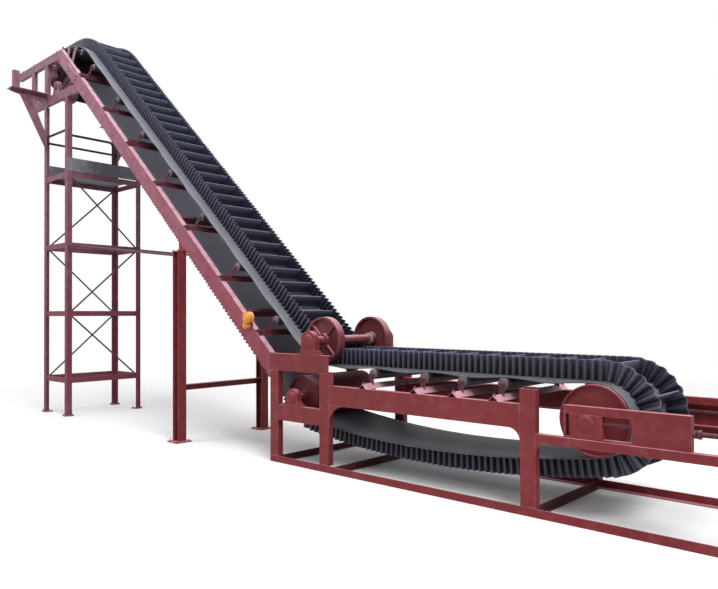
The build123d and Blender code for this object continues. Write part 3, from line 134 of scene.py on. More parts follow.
def mesh_object(name, verts, faces, paint, body="root", smooth=True):
    """A mesh piece that rides on a body and wears one of the MATERIALS."""
    piece = new_object(name, verts, faces)
    piece.data.validate()
    piece.data.polygons.foreach_set("use_smooth", [smooth] * len(piece.data.polygons))
    piece.data.update()
    piece.data.materials.append(MATERIALS[paint])
    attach(piece, body)
    return piece


def mark_wear_and_painted_light(piece, values):
    """Gives each point of a mesh the share of the paler colour that its rubber shows there: worn tips with a
    painted highlight on the walls and cleats, painted sky light on the belt.
    """
    attribute = piece.data.attributes.new("tip", "FLOAT", "POINT")
    attribute.data.foreach_set("value", values)


def grid_faces(rings, points, close_rings=True):
    """Quads between rings of points; each ring is closed on itself."""
    faces = []
    for i in range(rings if close_rings else rings - 1):
        a, b = i * points, (i + 1) % rings * points
        for j in range(points):
            k = (j + 1) % points
            faces.append((a + j, b + j, b + k, a + k))
    return faces


def around(u_axis, v_axis, angle):
    """The unit vector at an angle from the first axis towards the second."""
    return u_axis * math.cos(angle) + v_axis * math.sin(angle)


def square_axes(axis):
    """Two unit vectors square to an axis and to each other."""
    u_axis = axis.orthogonal().normalized()
    return u_axis, axis.cross(u_axis)


def node_radius(node):
    """Radius of a roll that turns about a cross axis, from its height."""
    low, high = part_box(node)
    return (high.z - low.z) / 2


WELD_RADIUS, WELD_STEP, WELD_SIDES = 0.0035, 0.006, 6
WASHER = 0.0025


class Batch:
    """Collects many small solids into one mesh."""

    def __init__(self):
        self.verts, self.faces = [], []

    def add_rings(self, verts, count):
        """Rings of so many points each, joined in a row and closed at both ends."""
        rings = len(verts) // count
        faces = grid_faces(rings, count, close_rings=False)
        faces.append(tuple(reversed(range(count))))
        faces.append(tuple(range((rings - 1) * count, rings * count)))
        base = len(self.verts)
        self.verts += [tuple(v) for v in verts]
        self.faces += [tuple(base + i for i in face) for face in faces]

    def prism(self, outline, origin, u_axis, v_axis, along, bevel=0.0):
        """An outline of (u, v) points, drawn out along a vector, with its end edges taken back by a bevel."""
        origin, along = Vector(origin), Vector(along)
        unit = along.normalized()
        cu = sum(p[0] for p in outline) / len(outline)
        cv = sum(p[1] for p in outline) / len(outline)
        rings = [(0.0, 1.0), (along.length, 1.0)]
        if bevel:
            keep = 1 - bevel / max(math.hypot(u - cu, v - cv) for u, v in outline)
            rings = [(0.0, keep), (bevel, 1.0), (along.length - bevel, 1.0), (along.length, keep)]
        verts = []
        for depth, scale in rings:
            for u, v in outline:
                at = origin + unit * depth + u_axis * (cu + (u - cu) * scale)
                verts.append(at + v_axis * (cv + (v - cv) * scale))
        self.add_rings(verts, len(outline))

    def turned(self, profile, origin, axis, segments, turn=0.0):
        """A turned part from (depth, radius) points along an axis."""
        origin, axis = Vector(origin), Vector(axis).normalized()
        u_axis, v_axis = square_axes(axis)
        verts = []
        for depth, radius in profile:
            for k in range(segments):
                out = around(u_axis, v_axis, FULL_TURN * k / segments + turn)
                verts.append(origin + axis * depth + out * radius)
        self.add_rings(verts, segments)

    def bolt(self, at, across, axis=ALONG_Z, washer=True):
        """A hexagon head on a washer, with a chamfered top."""
        at, axis = Vector(at), Vector(axis).normalized()
        radius, height = across / 2 / math.cos(math.pi / 6), across * 0.62
        if washer:
            self.turned([(0, radius * 1.25), (WASHER, radius * 1.25)], at, axis, 16)
            at = at + axis * WASHER
        self.turned([(0, radius), (height * 0.82, radius), (height, radius * 0.84)], at, axis, 6)

    def bolts(self, xs, ys, z, across):
        """Upright bolts at every crossing of some x and y."""
        for x in xs:
            for y in ys:
                self.bolt((x, y, z), across)

    def weld(self, start, end, seed):
        """A bead of weld along an edge, with the ripples of its runs."""
        start = Vector(start)
        along = Vector(end) - start
        count = max(4, int(along.length / WELD_STEP))
        u_axis, v_axis = square_axes(along.normalized())
        rand = random.Random(seed)
        verts = []
        for i in range(count + 1):
            swell = WELD_RADIUS * (0.85 + 0.15 * math.sin(i * 2.1) + 0.08 * rand.uniform(-1, 1))
            if i in (0, count):
                swell *= 0.5
            centre = start + along * (i / count)
            for k in range(WELD_SIDES):
                verts.append(centre + around(u_axis, v_axis, FULL_TURN / WELD_SIDES * k) * swell)
        self.add_rings(verts, WELD_SIDES)

    def piece(self, name, slot, paint, body="root", smooth=False):
        return mesh_object(name, self.verts, self.faces, paint, body, smooth)


# Materials


class Nodes:
    """Builds the shader nodes of a material or a world."""

    def __init__(self, tree):
        self.tree = tree
        tree.nodes.clear()

    def add(self, kind, inputs=(), **settings):
        """A node with its settings, and a value or another node's output on each named input."""
        node = self.tree.nodes.new("ShaderNode" + kind)
        for name, value in settings.items():
            setattr(node, name, value)
        for key, value in dict(inputs).items():
            if isinstance(value, bpy.types.NodeSocket):
                self.tree.links.new(value, node.inputs[key])
            else:
                node.inputs[key].default_value = value
        return node

    def math(self, operation, a, b, clamp=True):
        return self.add("Math", {0: a, 1: b}, operation=operation, use_clamp=clamp).outputs[0]

    def times(self, a, b):
        return self.math("MULTIPLY", a, b)

    def plus(self, a, b):
        return self.math("ADD", a, b)

    def ramp(self, source, low, high):
        """Maps a value so that low gives 0 and high gives 1."""
        inputs = {"Value": source, "From Min": low, "From Max": high}
        return self.add("MapRange", inputs).outputs["Result"]

    def mix(self, factor, a, b):
        a, b = (c if isinstance(c, bpy.types.NodeSocket) else (*c[:3], 1) for c in (a, b))
        return self.add("Mix", {0: factor, 6: a, 7: b}, data_type="RGBA").outputs[2]

    def mix_shaders(self, factor, a, b):
        return self.add("MixShader", {0: factor, 1: a.outputs[0], 2: b.outputs[0]})

    def noise(self, coords, scale, detail, roughness):
        inputs = {"Vector": coords, "Scale": scale, "Detail": detail, "Roughness": roughness}
        return self.add("TexNoise", inputs).outputs["Fac"]

    def stretched(self, coords, scale):
        return self.add("Mapping", {"Vector": coords, "Scale": scale}).outputs["Vector"]

    def object_coords(self):
        return self.add("TexCoord").outputs["Object"]

    def height(self, vector, low, high):
        """Where a vector's Z lies between two levels, from 0 to 1."""
        return self.ramp(self.add("SeparateXYZ", {0: vector}).outputs["Z"], low, high)

    def faces_up(self, low, high=0.95):
        """How far a surface faces up, from 0 to 1."""
        return self.height(self.add("NewGeometry").outputs["Normal"], low, high)

    def rounded(self, radius):
        """The normal that a surface with rounded edges would have."""
        return self.add("Bevel", {"Radius": radius}, samples=4).outputs["Normal"]

    def edges_worn_and_highlit(self, radius):
        """How near an edge a point lies, from how far a rounded normal turns away from the flat one."""
        flat = self.add("NewGeometry").outputs["Normal"]
        dot = self.add("VectorMath", {0: self.rounded(radius), 1: flat}, operation="DOT_PRODUCT")
        return self.ramp(self.math("SUBTRACT", 1.0, dot.outputs["Value"], clamp=False), 0.004, 0.06)

    def add_painted_haze(self, coords, patches, shade, colour, amount):
        """Mixes in painted haze, a paler colour for the light of the air, in patches and more of it higher
        up.
        """
        high_up = self.times(self.height(coords, *HAZE_HEIGHTS), amount)
        return self.mix(self.times(high_up, self.ramp(patches, 0.2, 0.6)), shade, colour)

    def show(self, shader, output="OutputMaterial"):
        self.add(output, {"Surface": shader.outputs[0]})

    def surface(self, shader, shade, roughness, relief, depth, edge=0.0):
        """Puts colour, roughness and fine relief on a shader."""
        inputs = {"Strength": 0.3, "Distance": depth, "Height": relief}
        if edge:
            inputs["Normal"] = self.rounded(edge)
        normal = self.add("Bump", inputs).outputs["Normal"]
        for name, value in (("Base Color", shade), ("Roughness", roughness), ("Normal", normal)):
            self.tree.links.new(value, shader.inputs[name])
        self.show(shader)


def new_material(name, inputs=()):
    """A material with a principled shader; nothing shows it until an output node takes it up."""
    material = bpy.data.materials.new(name)
    material.use_nodes = True
    nodes = Nodes(material.node_tree)
    return material, nodes, nodes.add("BsdfPrincipled", inputs)


def tint(colour, factor):
    return tuple(min(1.0, c * factor) for c in colour)


# Painted haze: paler, bluer colours that stand in for the light of the air, mixed in more from the lower
# height to the upper
HAZE_HEIGHTS = (1.2, 5.2)
PAINT_HAZE_COLOUR = (0.38, 0.27, 0.36)
RUBBER_HAZE_COLOUR = (0.075, 0.078, 0.150)
PAINT_SHEEN = 0.2


def painted_steel(name, base, dust_and_highlight, roughness=0.5, dust=0.75, mottling=0.10, edge=0.0022, painted_haze=0.0,
                  lies_from=0.45):
    """Brushed-on paint: soft mottling, thin runs, painted haze higher up where asked, dust on upper faces,
    paler edges that are worn and carry a painted highlight, and a dull sheen.
    """
    material, nodes, shader = new_material(name, {"Specular IOR Level": PAINT_SHEEN})
    coords = nodes.object_coords()
    cloud = nodes.noise(coords, 1.3, 5.0, 0.55)
    mottle = nodes.noise(coords, 11.0, 8.0, 0.68)
    grain = nodes.noise(coords, 160.0, 3.0, 0.6)
    streak = nodes.noise(nodes.stretched(coords, (38.0, 38.0, 2.2)), 1.0, 3.0, 0.6)
    shade = nodes.mix(nodes.ramp(cloud, 0.3, 0.7), tint(base, 0.84), tint(base, 1.16))
    shade = nodes.mix(nodes.times(nodes.ramp(mottle, 0.46, 0.72), mottling), shade, dust_and_highlight)
    shade = nodes.mix(nodes.times(nodes.ramp(streak, 0.56, 0.74), 0.28), shade, tint(base, 0.55))
    # painted haze, paler higher up
    if painted_haze:
        shade = nodes.add_painted_haze(coords, mottle, shade, PAINT_HAZE_COLOUR, painted_haze)
    lying = nodes.times(nodes.faces_up(lies_from), dust)
    shade = nodes.mix(nodes.times(lying, nodes.ramp(mottle, 0.1, 0.55)), shade, dust_and_highlight)
    # paler edges: rubbed paint, and a painted highlight along them
    rubbed_and_highlit = nodes.times(nodes.edges_worn_and_highlit(edge * 1.6), nodes.ramp(mottle, 0.3, 0.6))
    shade = nodes.mix(nodes.times(rubbed_and_highlit, 0.8), shade, dust_and_highlight)
    rough = nodes.plus(nodes.times(nodes.ramp(mottle, -0.3, 1.6), 0.3), roughness - 0.1)
    relief = nodes.plus(nodes.times(mottle, 0.5), nodes.times(grain, 0.25))
    nodes.surface(shader, shade, rough, relief, 0.001, edge)
    return material


def rubber(name, base, dust_and_highlight, dust_low, dust_high, tip_wear_and_light, roughness=0.62, painted_haze=0.0, speckle=(0.25, 0.6)):
    """Rubber with dust lying on it, scuffs, painted haze higher up where asked, and a paler colour where a
    point attribute says so: worn tips with a painted highlight, or painted sky light on the belt.
    """
    material, nodes, shader = new_material(name)
    coords = nodes.object_coords()
    cloud = nodes.noise(coords, 3.1, 6.0, 0.65)
    fine = nodes.noise(coords, 55.0, 6.0, 0.7)
    scratch = nodes.noise(nodes.stretched(coords, (6.0, 120.0, 6.0)), 1.0, 4.0, 0.7)
    shade = nodes.mix(nodes.ramp(cloud, 0.3, 0.7), tint(base, 0.75), tint(base, 1.3))
    powder = nodes.times(nodes.ramp(cloud, 0.3, 0.75), nodes.faces_up(0.1, 0.9))
    powder = nodes.plus(nodes.times(powder, dust_high - dust_low), dust_low)
    shade = nodes.mix(nodes.times(powder, nodes.ramp(fine, 0.15, 0.65)), shade, dust_and_highlight)
    shade = nodes.mix(nodes.times(nodes.ramp(scratch, 0.58, 0.7), 0.25), shade, dust_and_highlight)
    # painted haze, paler higher up
    if painted_haze:
        shade = nodes.add_painted_haze(coords, fine, shade, RUBBER_HAZE_COLOUR, painted_haze)
    # the point attribute: wear with a painted highlight on tips, painted sky light on the belt
    tip = nodes.add("Attribute", attribute_name="tip").outputs["Fac"]
    worn_and_lit = nodes.times(nodes.times(tip, nodes.ramp(fine, *speckle)), tip_wear_and_light)
    rough = nodes.plus(nodes.times(fine, 0.3), roughness - 0.15)
    relief = nodes.plus(fine, nodes.times(scratch, 0.5))
    nodes.surface(shader, nodes.mix(worn_and_lit, shade, dust_and_highlight), rough, relief, 0.0008)
    return material


PAINTS = (
    # key, material name, base colour, colour of dust and of rubbed edges with their painted highlight,
    # settings of its own
    # painted haze on the tower and the beams: paler higher up
    ("tower_primer", "painted_haze_tower_primer", (0.178, 0.040, 0.062), (0.62, 0.36, 0.42), {"painted_haze": 0.52}),
    ("beam_primer", "hazy_primer", (0.275, 0.055, 0.080), (0.78, 0.50, 0.59), {"dust": 0.95, "painted_haze": 0.62}),
    ("wheel_primer", "wheel_primer", (0.150, 0.027, 0.038), (0.66, 0.36, 0.41),
     {"dust": 0.85, "lies_from": 0.15}),
    # painted shade: a darkened primer for the head drum and the incline ties, which lie in shade
    ("painted_shade_primer", "painted_shade_primer", (0.060, 0.018, 0.026), (0.26, 0.13, 0.16), {"dust": 0.5}),
    ("drum_primer", "drum_primer", (0.15, 0.026, 0.034), (0.40, 0.18, 0.20), {"dust": 0.6}),
    # painted shade: the idler members' base colour is darkened; dust still lies pale on their upper faces
    ("painted_shade_idler_primer", "painted_shade_idler_primer", (0.098, 0.020, 0.031), (0.85, 0.50, 0.58),
     {"dust": 1.0, "lies_from": 0.25}),
    # painted shade: the idler brackets are darkened
    ("painted_shade_bracket_primer", "painted_shade_bracket_primer", (0.085, 0.024, 0.032), (0.45, 0.24, 0.28), {"dust": 0.3}),
    # painted shade: the base cross bars are darkened
    ("base_primer", "painted_shade_base_primer", (0.075, 0.019, 0.024), (0.24, 0.12, 0.13), {"dust": 0.45}),
    ("dark", "dark_paint", (0.035, 0.026, 0.034), (0.16, 0.12, 0.15), {"roughness": 0.45}),
    ("rod", "rod_paint", (0.080, 0.040, 0.052), (0.30, 0.19, 0.22), {}),
    ("roller_end", "rubbed_roller_end", (0.13, 0.125, 0.145), (0.50, 0.48, 0.54),
     {"roughness": 0.42, "dust": 0.9}),
    ("grey", "grey_sheet", (0.18, 0.18, 0.21), (0.42, 0.42, 0.47), {"mottling": 0.5}),
    ("navy", "navy_enamel", (0.022, 0.018, 0.036), (0.10, 0.07, 0.10), {"roughness": 0.42}),
    ("green", "grey_green_enamel", (0.075, 0.105, 0.095), (0.22, 0.24, 0.23), {"roughness": 0.42}),
    ("yellow", "yellow_enamel", (0.78, 0.34, 0.065), (0.85, 0.62, 0.36), {"roughness": 0.35, "dust": 0.4}),
    ("bolt", "painted_bolts", (0.19, 0.036, 0.046), (0.55, 0.30, 0.34),
     {"roughness": 0.42, "edge": 0.0008}),
    ("zinc", "dull_zinc", (0.28, 0.27, 0.28), (0.42, 0.40, 0.40), {"roughness": 0.38, "edge": 0.0008}),
    ("shaft", "oversprayed_shaft", (0.17, 0.040, 0.050), (0.62, 0.38, 0.42),
     {"roughness": 0.36, "lies_from": 0.3}),
    # primer red, darkened as painted shade so the screws fade into the dark take-up window
    ("screw", "painted_shade_primer_screw", (0.105, 0.028, 0.034), (0.22, 0.11, 0.12),
     {"roughness": 0.42, "edge": 0.0008}),
)
MATERIALS = {}


def make_materials():
    finish = bpy.context.scene.conveyor_finish
    primer = ("primer", "red_oxide_primer", tuple(finish.primer), tuple(finish.primer_dust), {})
    for key, name, base, dust_and_highlight, settings in (primer, *PAINTS):
        MATERIALS[key] = painted_steel(name, base, dust_and_highlight, **settings)
    # the belt's pale blue colour is painted sky light, shown by each point's share; little dust lies on the
    # belt
    MATERIALS["belt"] = rubber("belt_cover", tuple(finish.belt_rubber), (0.66, 0.68, 0.82), 0.01, 0.04, 0.95,
                               speckle=(-0.5, 1.0))
    # sidewalls and cleats: tips paler from wear and a painted highlight, and painted haze higher up
    MATERIALS["wall"] = rubber("sidewall_rubber", tuple(finish.wall_rubber), (0.12, 0.125, 0.20), 0.02, 0.26,
                               0.9, 0.40, painted_haze=0.5)
    MATERIALS["cleat"] = rubber("cleat_rubber", tint(finish.wall_rubber, 1.1), (0.18, 0.19, 0.29), 0.04, 0.34,
                                0.95, 0.48, painted_haze=0.5)


# Belt path, as the rolls and the incline set it


def roll_stop(belt, body, node, inside=True):
    """(x, z, radius) of the pulley face round a roll; the radius is below 0 where the roll is outside."""
    at, radius = JOINT_AT[body], node_radius(node) + belt.gap
    return at.x, at.z, radius if inside else -(radius + belt.thickness)


def sag_stop(first, last, radius):
    """The wide arc of the slack lower run, tangent to a roll at each end."""
    a, b = Vector(first[:2]), Vector(last[:2])
    ra, rb = radius - first[2], radius - last[2]
    span = (b - a).length
    along = (span**2 + ra**2 - rb**2) / (2 * span)
    unit = (b - a).normalized()
    centre = a + unit * along + Vector((-unit.y, unit.x)) * math.sqrt(ra**2 - along**2)
    return centre.x, centre.y, radius


def belt_stops(belt):
    """The belt's arcs in travel order, as (x, z, radius)."""
    tail, bend = roll_stop(belt, "tail_roll", "tail_drum"), roll_stop(belt, "bend_roll", "bend_drum")
    head = roll_stop(belt, "head_roll", "head_drum")
    press = roll_stop(belt, "press_roll", "press_wheels", inside=False)
    back = roll_stop(belt, "return_roll", "return_wheels", inside=False)
    reach = press[2] - belt.crest_radius
    foot_x = press[0] + math.sin(belt.incline) * reach
    foot_z = press[1] + math.cos(belt.incline) * reach
    crest_z = head[1] + head[2] - belt.crest_radius
    crest = (foot_x - (crest_z - foot_z) / math.tan(belt.incline), crest_z, belt.crest_radius)
    return [tail, press, crest, head, back, bend, sag_stop(bend, tail, belt.sag_radius)]


SHORTEST_LINE = 0.001


def belt_segments(belt):
    """Lines and arcs of the pulley face in travel order, each with its whole number of waves."""
    stops = belt_stops(belt)
    headings, lengths = [], []
    for i, (x1, z1, r1) in enumerate(stops):
        x0, z0, r0 = stops[i - 1]
        distance = math.hypot(x1 - x0, z1 - z0)
        turn = math.asin(max(-1.0, min(1.0, (r1 - r0) / distance)))
        headings.append(math.atan2(z1 - z0, x1 - x0) - turn)
        lengths.append(distance * math.cos(turn))
    segments = []
    for i, (x, z, radius) in enumerate(stops):
        start, length = headings[i], lengths[i]
        turn = (headings[(i + 1) % len(stops)] - start) % FULL_TURN
        if radius < 0:
            turn -= FULL_TURN
        if i and length > SHORTEST_LINE:
            begin = (x + radius * math.sin(start) - length * math.cos(start),
                     z - radius * math.cos(start) - length * math.sin(start))
            segments.append(dict(arc=False, at=begin, heading=start, length=length))
        segments.append(dict(arc=True, at=(x, z), radius=radius, heading=start, turn=turn,
                             length=abs(radius * turn)))
    for segment in segments:
        segment["waves"] = max(1, round(segment["length"] / belt.wave))
    longest = max(segments, key=lambda s: s["length"])
    longest["waves"] += -sum(s["waves"] for s in segments) % belt.cleat_every
    return segments


def place(segment, share, offset):
    """Point at a share of a segment, offset outward from the pulley face, and the heading there."""
    x, z = segment["at"]
    heading = segment["heading"]
    if segment["arc"]:
        heading += share * segment["turn"]
        reach = segment["radius"] + offset
        return x + reach * math.sin(heading), z - reach * math.cos(heading), heading
    along = share * segment["length"]
    return (x + along * math.cos(heading) + offset * math.sin(heading),
            z + along * math.sin(heading) - offset * math.cos(heading), heading)


def belt_stations(belt, per_wave):
    """(segment, share, wave count so far) at an even number of stations to the wave."""
    found, total = [], 0
    for segment in belt_segments(belt):
        steps = segment["waves"] * per_wave
        found += [(segment, k / steps, total + k / per_wave) for k in range(steps)]
        total += segment["waves"]
    return found


IDLER_BAY, DROOP_FADES, DROOP_LEAST_RUN = 0.6, 0.3, 1


def droop_at(segment, share, belt):
    """How far the free margin hangs at a station, positive along the outward normal."""
    length = segment["length"]
    if segment["arc"] or length < DROOP_LEAST_RUN:
        return 0.0
    bays = max(1, round(length / IDLER_BAY))
    shape = math.sin(math.pi * share * bays) ** 2
    ends = min(1.0, share * length / DROOP_FADES, (1 - share) * length / DROOP_FADES)
    level = math.cos(segment["heading"])
    return math.copysign(belt.margin_droop * level**2 * shape * ends, level)


# Share of the paler colour on the belt's inner face, and of painted sky light on its outer face where the
# belt climbs
INNER_PALE_SHARE, INCLINE_PAINTED_LIGHT = 0.07, 0.22
# The outer face takes it up between two climbs, the inner face above a height of the steep return run
CLIMB_FROM, CLIMB_RISE, RETURN_CLIMB = 0.2, 0.4, -0.3
# painted sky light on the steep return run's inner face grows over these heights
PAINTED_LIGHT_FROM, PAINTED_LIGHT_RISE = 1.0, 1.2


def painted_sky_light_on(heading, height, inner):
    """How much of the paler colour a face of the belt shows, from the way the belt runs there: painted sky
    light where the outer face climbs and on the inner face of the steep return run higher up, and a low even
    share on the rest of the inner face.
    """
    climb = math.sin(heading)
    if not inner:
        return INCLINE_PAINTED_LIGHT * min(1.0, max(0.0, (climb - CLIMB_FROM) / CLIMB_RISE))
    if climb > RETURN_CLIMB:
        return INNER_PALE_SHARE
    return INNER_PALE_SHARE + (1 - INNER_PALE_SHARE) * min(1.0, max(0.0, (height - PAINTED_LIGHT_FROM) / PAINTED_LIGHT_RISE))


class CONVEYOR_OT_belt(bpy.types.Operator):
    """Build the flat belt, with its free margins hanging a little between the idlers"""

    bl_idname = "conveyor.belt"
    bl_label = "Belt"

    PER_WAVE = 2
    LIP, COLUMNS = 0.0018, (0.2, 0.3, 0.35)
    MARGIN_FROM, DROOP_POWER = 0.01, 1.5

    def execute(self, context):
        belt = context.scene.conveyor_belt
        stations = belt_stations(belt, self.PER_WAVE)
        half, lip, thick = BELT_HALF, self.LIP, belt.thickness
        right = [(y, 0) for y in self.COLUMNS] + [(half - lip, 0), (half, lip)]
        inner_face = [(-y, offset) for y, offset in reversed(right)] + right
        across = inner_face + [(-y, thick - offset) for y, offset in inner_face]
        inner = WALL_OUTER + self.MARGIN_FROM
        verts, painted_light = [], []
        for segment, share, _ in stations:
            droop = droop_at(segment, share, belt)
            for y, offset in across:
                free = max(0.0, (abs(y) - inner) / (half - inner))
                x, z, heading = place(segment, share, offset + droop * free**self.DROOP_POWER)
                verts.append((x, y, z))
                # painted sky light on the faces of the belt that the sky lights
                painted_light.append(painted_sky_light_on(heading, z, offset < thick / 2))
        faces = grid_faces(len(stations), len(across))
        piece = mesh_object("belt_cover", verts, faces, "belt")
        mark_wear_and_painted_light(piece, painted_light)
        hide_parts("belt_straight_runs", "belt_drum_wraps", "belt_curves")
        return {"FINISHED"}


class CONVEYOR_OT_sidewalls(bpy.types.Operator):
    """Build the corrugated sidewalls, which open out round the drums and close up under the wheels"""

    bl_idname = "conveyor.sidewalls"
    bl_label = "Corrugated sidewalls"

    PER_WAVE = 12
    # the third harmonic flattens the folds, and the swing is evened out for it
    THIRD, SWING_EVENED = 0.16, 0.92
    # swing, share of the wave's own phase, start
    LEANS = ((0.0025, 0.137, 0.0), (0.002, 0.311, 1.3))
    TIP_FROM = 0.86

    def execute(self, context):
        belt = context.scene.conveyor_belt
        stations = belt_stations(belt, self.PER_WAVE)
        half, top = belt.wall_thickness / 2, belt.wall_height
        # height, half thickness
        flank = [(0.0, half + 0.006), (0.004, half + 0.004), (0.014, half), (top - 0.012, half),
                 (top - 0.003, half), (top, half * 0.45)]
        ring = flank + [(h, -t) for h, t in reversed(flank)]
        swing = belt.wave_depth / 2 - half
        middle = WALL_OUTER - belt.wave_depth / 2
        for side, name in zip(SIDES, ("near", "far")):
            verts, tips = [], []
            for segment, share, wave in stations:
                phase = FULL_TURN * wave
                sway = math.sin(phase) + self.THIRD * math.sin(3 * phase)
                lean = sum(size * math.sin(phase * pace + start) for size, pace, start in self.LEANS)
                for height, thick in ring:
                    x, z, _ = place(segment, share, belt.thickness + height)
                    y = middle + swing * sway / self.SWING_EVENED + thick + lean * height / top
                    verts.append((x, side * min(y, WALL_OUTER), z))
                    # the top of the wall gets wear and a painted highlight
                    tips.append(max(0.0, (height / top - self.TIP_FROM) / (1 - self.TIP_FROM)))
            faces = grid_faces(len(stations), len(ring))
            if side > 0:
                faces = [tuple(reversed(face)) for face in faces]
            piece = mesh_object(f"sidewall_{name}", verts, faces, "wall")
            mark_wear_and_painted_light(piece, tips)
            if side < 0:
                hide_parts("sidewalls_straight_runs", "sidewalls_drum_wraps", "sidewalls_curves")
        return {"FINISHED"}


class CONVEYOR_OT_cleats(bpy.types.Operator):
    """Build the cross cleats, each a leaning blade on a moulded foot that is bolted to the belt"""

    bl_idname = "conveyor.cleats"
    bl_label = "Cross cleats"

    WALL_ROOM, TIP_FROM = 0.002, 0.93
    STUDS_ACROSS, STUDS_AHEAD, STUD_SEAT = (-0.17, -0.06, 0.06, 0.17), (-0.024, 0.024), 0.0085
    STUD = ((0, 0.007), (0.003, 0.007), (0.0045, 0.005))

    def execute(self, context):
        belt = context.scene.conveyor_belt
        top, half_width = belt.cleat_height, WALL_OUTER - belt.wave_depth - self.WALL_ROOM
        # ahead, height, from the foot's heel round the blade to its toe
        outline = [(-0.034, 0.0), (0.034, 0.0), (0.034, 0.006), (0.022, 0.010), (0.010, 0.018),
                   (0.0075, 0.035), (0.012, top * 0.6), (0.022, top - 0.004), (0.0195, top), (0.0125, top),
                   (0.010, top - 0.004), (-0.002, top * 0.6), (-0.0075, 0.035), (-0.010, 0.018),
                   (-0.022, 0.010), (-0.034, 0.006)]
        # the blade's top gets wear and a painted highlight
        tip = [max(0.0, (height / top - self.TIP_FROM) / (1 - self.TIP_FROM)) for _, height in outline] * 2
        blades, studs, tips = Batch(), Batch(), []
        for segment, share, wave in belt_stations(belt, 1):
            if wave % belt.cleat_every:
                continue
            x, z, heading = place(segment, share, belt.thickness)
            ahead = Vector((math.cos(heading), 0, math.sin(heading)))
            out = Vector((math.sin(heading), 0, -math.cos(heading)))
            blades.prism(outline, (x, -half_width, z), ahead, out, ALONG_Y * 2 * half_width)
            tips += tip
            for y in self.STUDS_ACROSS:
                for toe in self.STUDS_AHEAD:
                    studs.turned(self.STUD, Vector((x, y, z)) + ahead * toe + out * self.STUD_SEAT, out, 10)
        piece = blades.piece("cleat_blades", "sidewall_rubber", "cleat")
        mark_wear_and_painted_light(piece, tips)
        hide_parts("cleats")
        studs.piece("cleat_studs", "dark_steel", "dark")
        return {"FINISHED"}


class CONVEYOR_OT_steelwork(bpy.types.Operator):
    """Give each steel node its paint"""

    bl_idname = "conveyor.steelwork"
    bl_label = "Steelwork finish"

    FINISHES = {
        "tower_primer": ("tower_legs", "tower_side_ties", "tower_end_ties", "head_chords", "head_posts",
                         "drive_outriggers", "return_bearings", "head_bearings", "return_wheels"),
        "beam_primer": ("incline_beams", "head_rafters", "splice_plates", "crest_brackets"),
        "wheel_primer": ("press_wheels",),
        # painted shade on the head drum and the incline ties
        "painted_shade_primer": ("head_drum", "incline_ties"),
        "drum_primer": ("bend_drum",),
        # painted shade on the idler members
        "painted_shade_idler_primer": ("idler_members",),
        # painted shade on the idler brackets
        "painted_shade_bracket_primer": ("idler_brackets",),
        # painted shade on the base cross bars
        "base_primer": ("base_cross_bars",),
        "dark": ("idler_rollers", "handrails"),
        "grey": ("toe_boards", "platform"),
        "navy": ("gearbox", "motor"),
        "green": ("motor_adapter",),
        "yellow": ("belt_switch",),
        "shaft": ("press_shaft", "bend_shaft", "tail_shaft", "head_shaft", "return_shaft"),
        # painted shade on the take-up screws
        "screw": ("takeup_screws",),
    }

    def execute(self, context):
        chosen = {node: key for key, nodes in self.FINISHES.items() for node in nodes}
        for name, node in NODES.items():
            node.data.materials.clear()
            node.data.materials.append(MATERIALS[chosen.get(name, "primer")])
        return {"FINISHED"}


def solids(name):
    """The lowest and highest corner of each separate solid of a CAD node, in the row frame."""
    node = NODES[name]
    mesh = node.data
    points = np.empty(len(mesh.vertices) * 3)
    mesh.vertices.foreach_get("co", points)
    turn = np.array(node.matrix_world)
    points = points.reshape(-1, 3) @ turn[:3, :3].T + turn[:3, 3]
    _, same = np.unique(np.round(points, 5), axis=0, return_inverse=True)
    same = same.ravel()
    group = list(range(int(same.max()) + 1))

    def root(i):
        while group[i] != i:
            group[i] = group[group[i]]
            i = group[i]
        return i

    for polygon in mesh.polygons:
        first = root(same[polygon.vertices[0]])
        for vertex in polygon.vertices[1:]:
            group[root(same[vertex])] = first
    member = np.array([root(i) for i in range(len(group))])[same]
    found = []
    for label in np.unique(member):
        inside = points[member == label]
        found.append((Vector(inside.min(axis=0)), Vector(inside.max(axis=0))))
    return sorted(found, key=lambda pair: tuple(round(v, 3) for v in pair[0]))


def side_solids(*names):
    """The corners of each solid, the y of its face away from the belt, and the way out along Y."""
    for name in names:
        for low, high in solids(name):
            yield (low, high, low.y, -1) if low.y + high.y < 0 else (low, high, high.y, 1)


def rays(count, start=0.0):
    """Unit vectors evenly round the Y axis, each with the one square to it."""
    for k in range(count):
        turn = start + FULL_TURN * k / count
        yield Vector((math.cos(turn), 0, math.sin(turn))), Vector((-math.sin(turn), 0, math.cos(turn)))


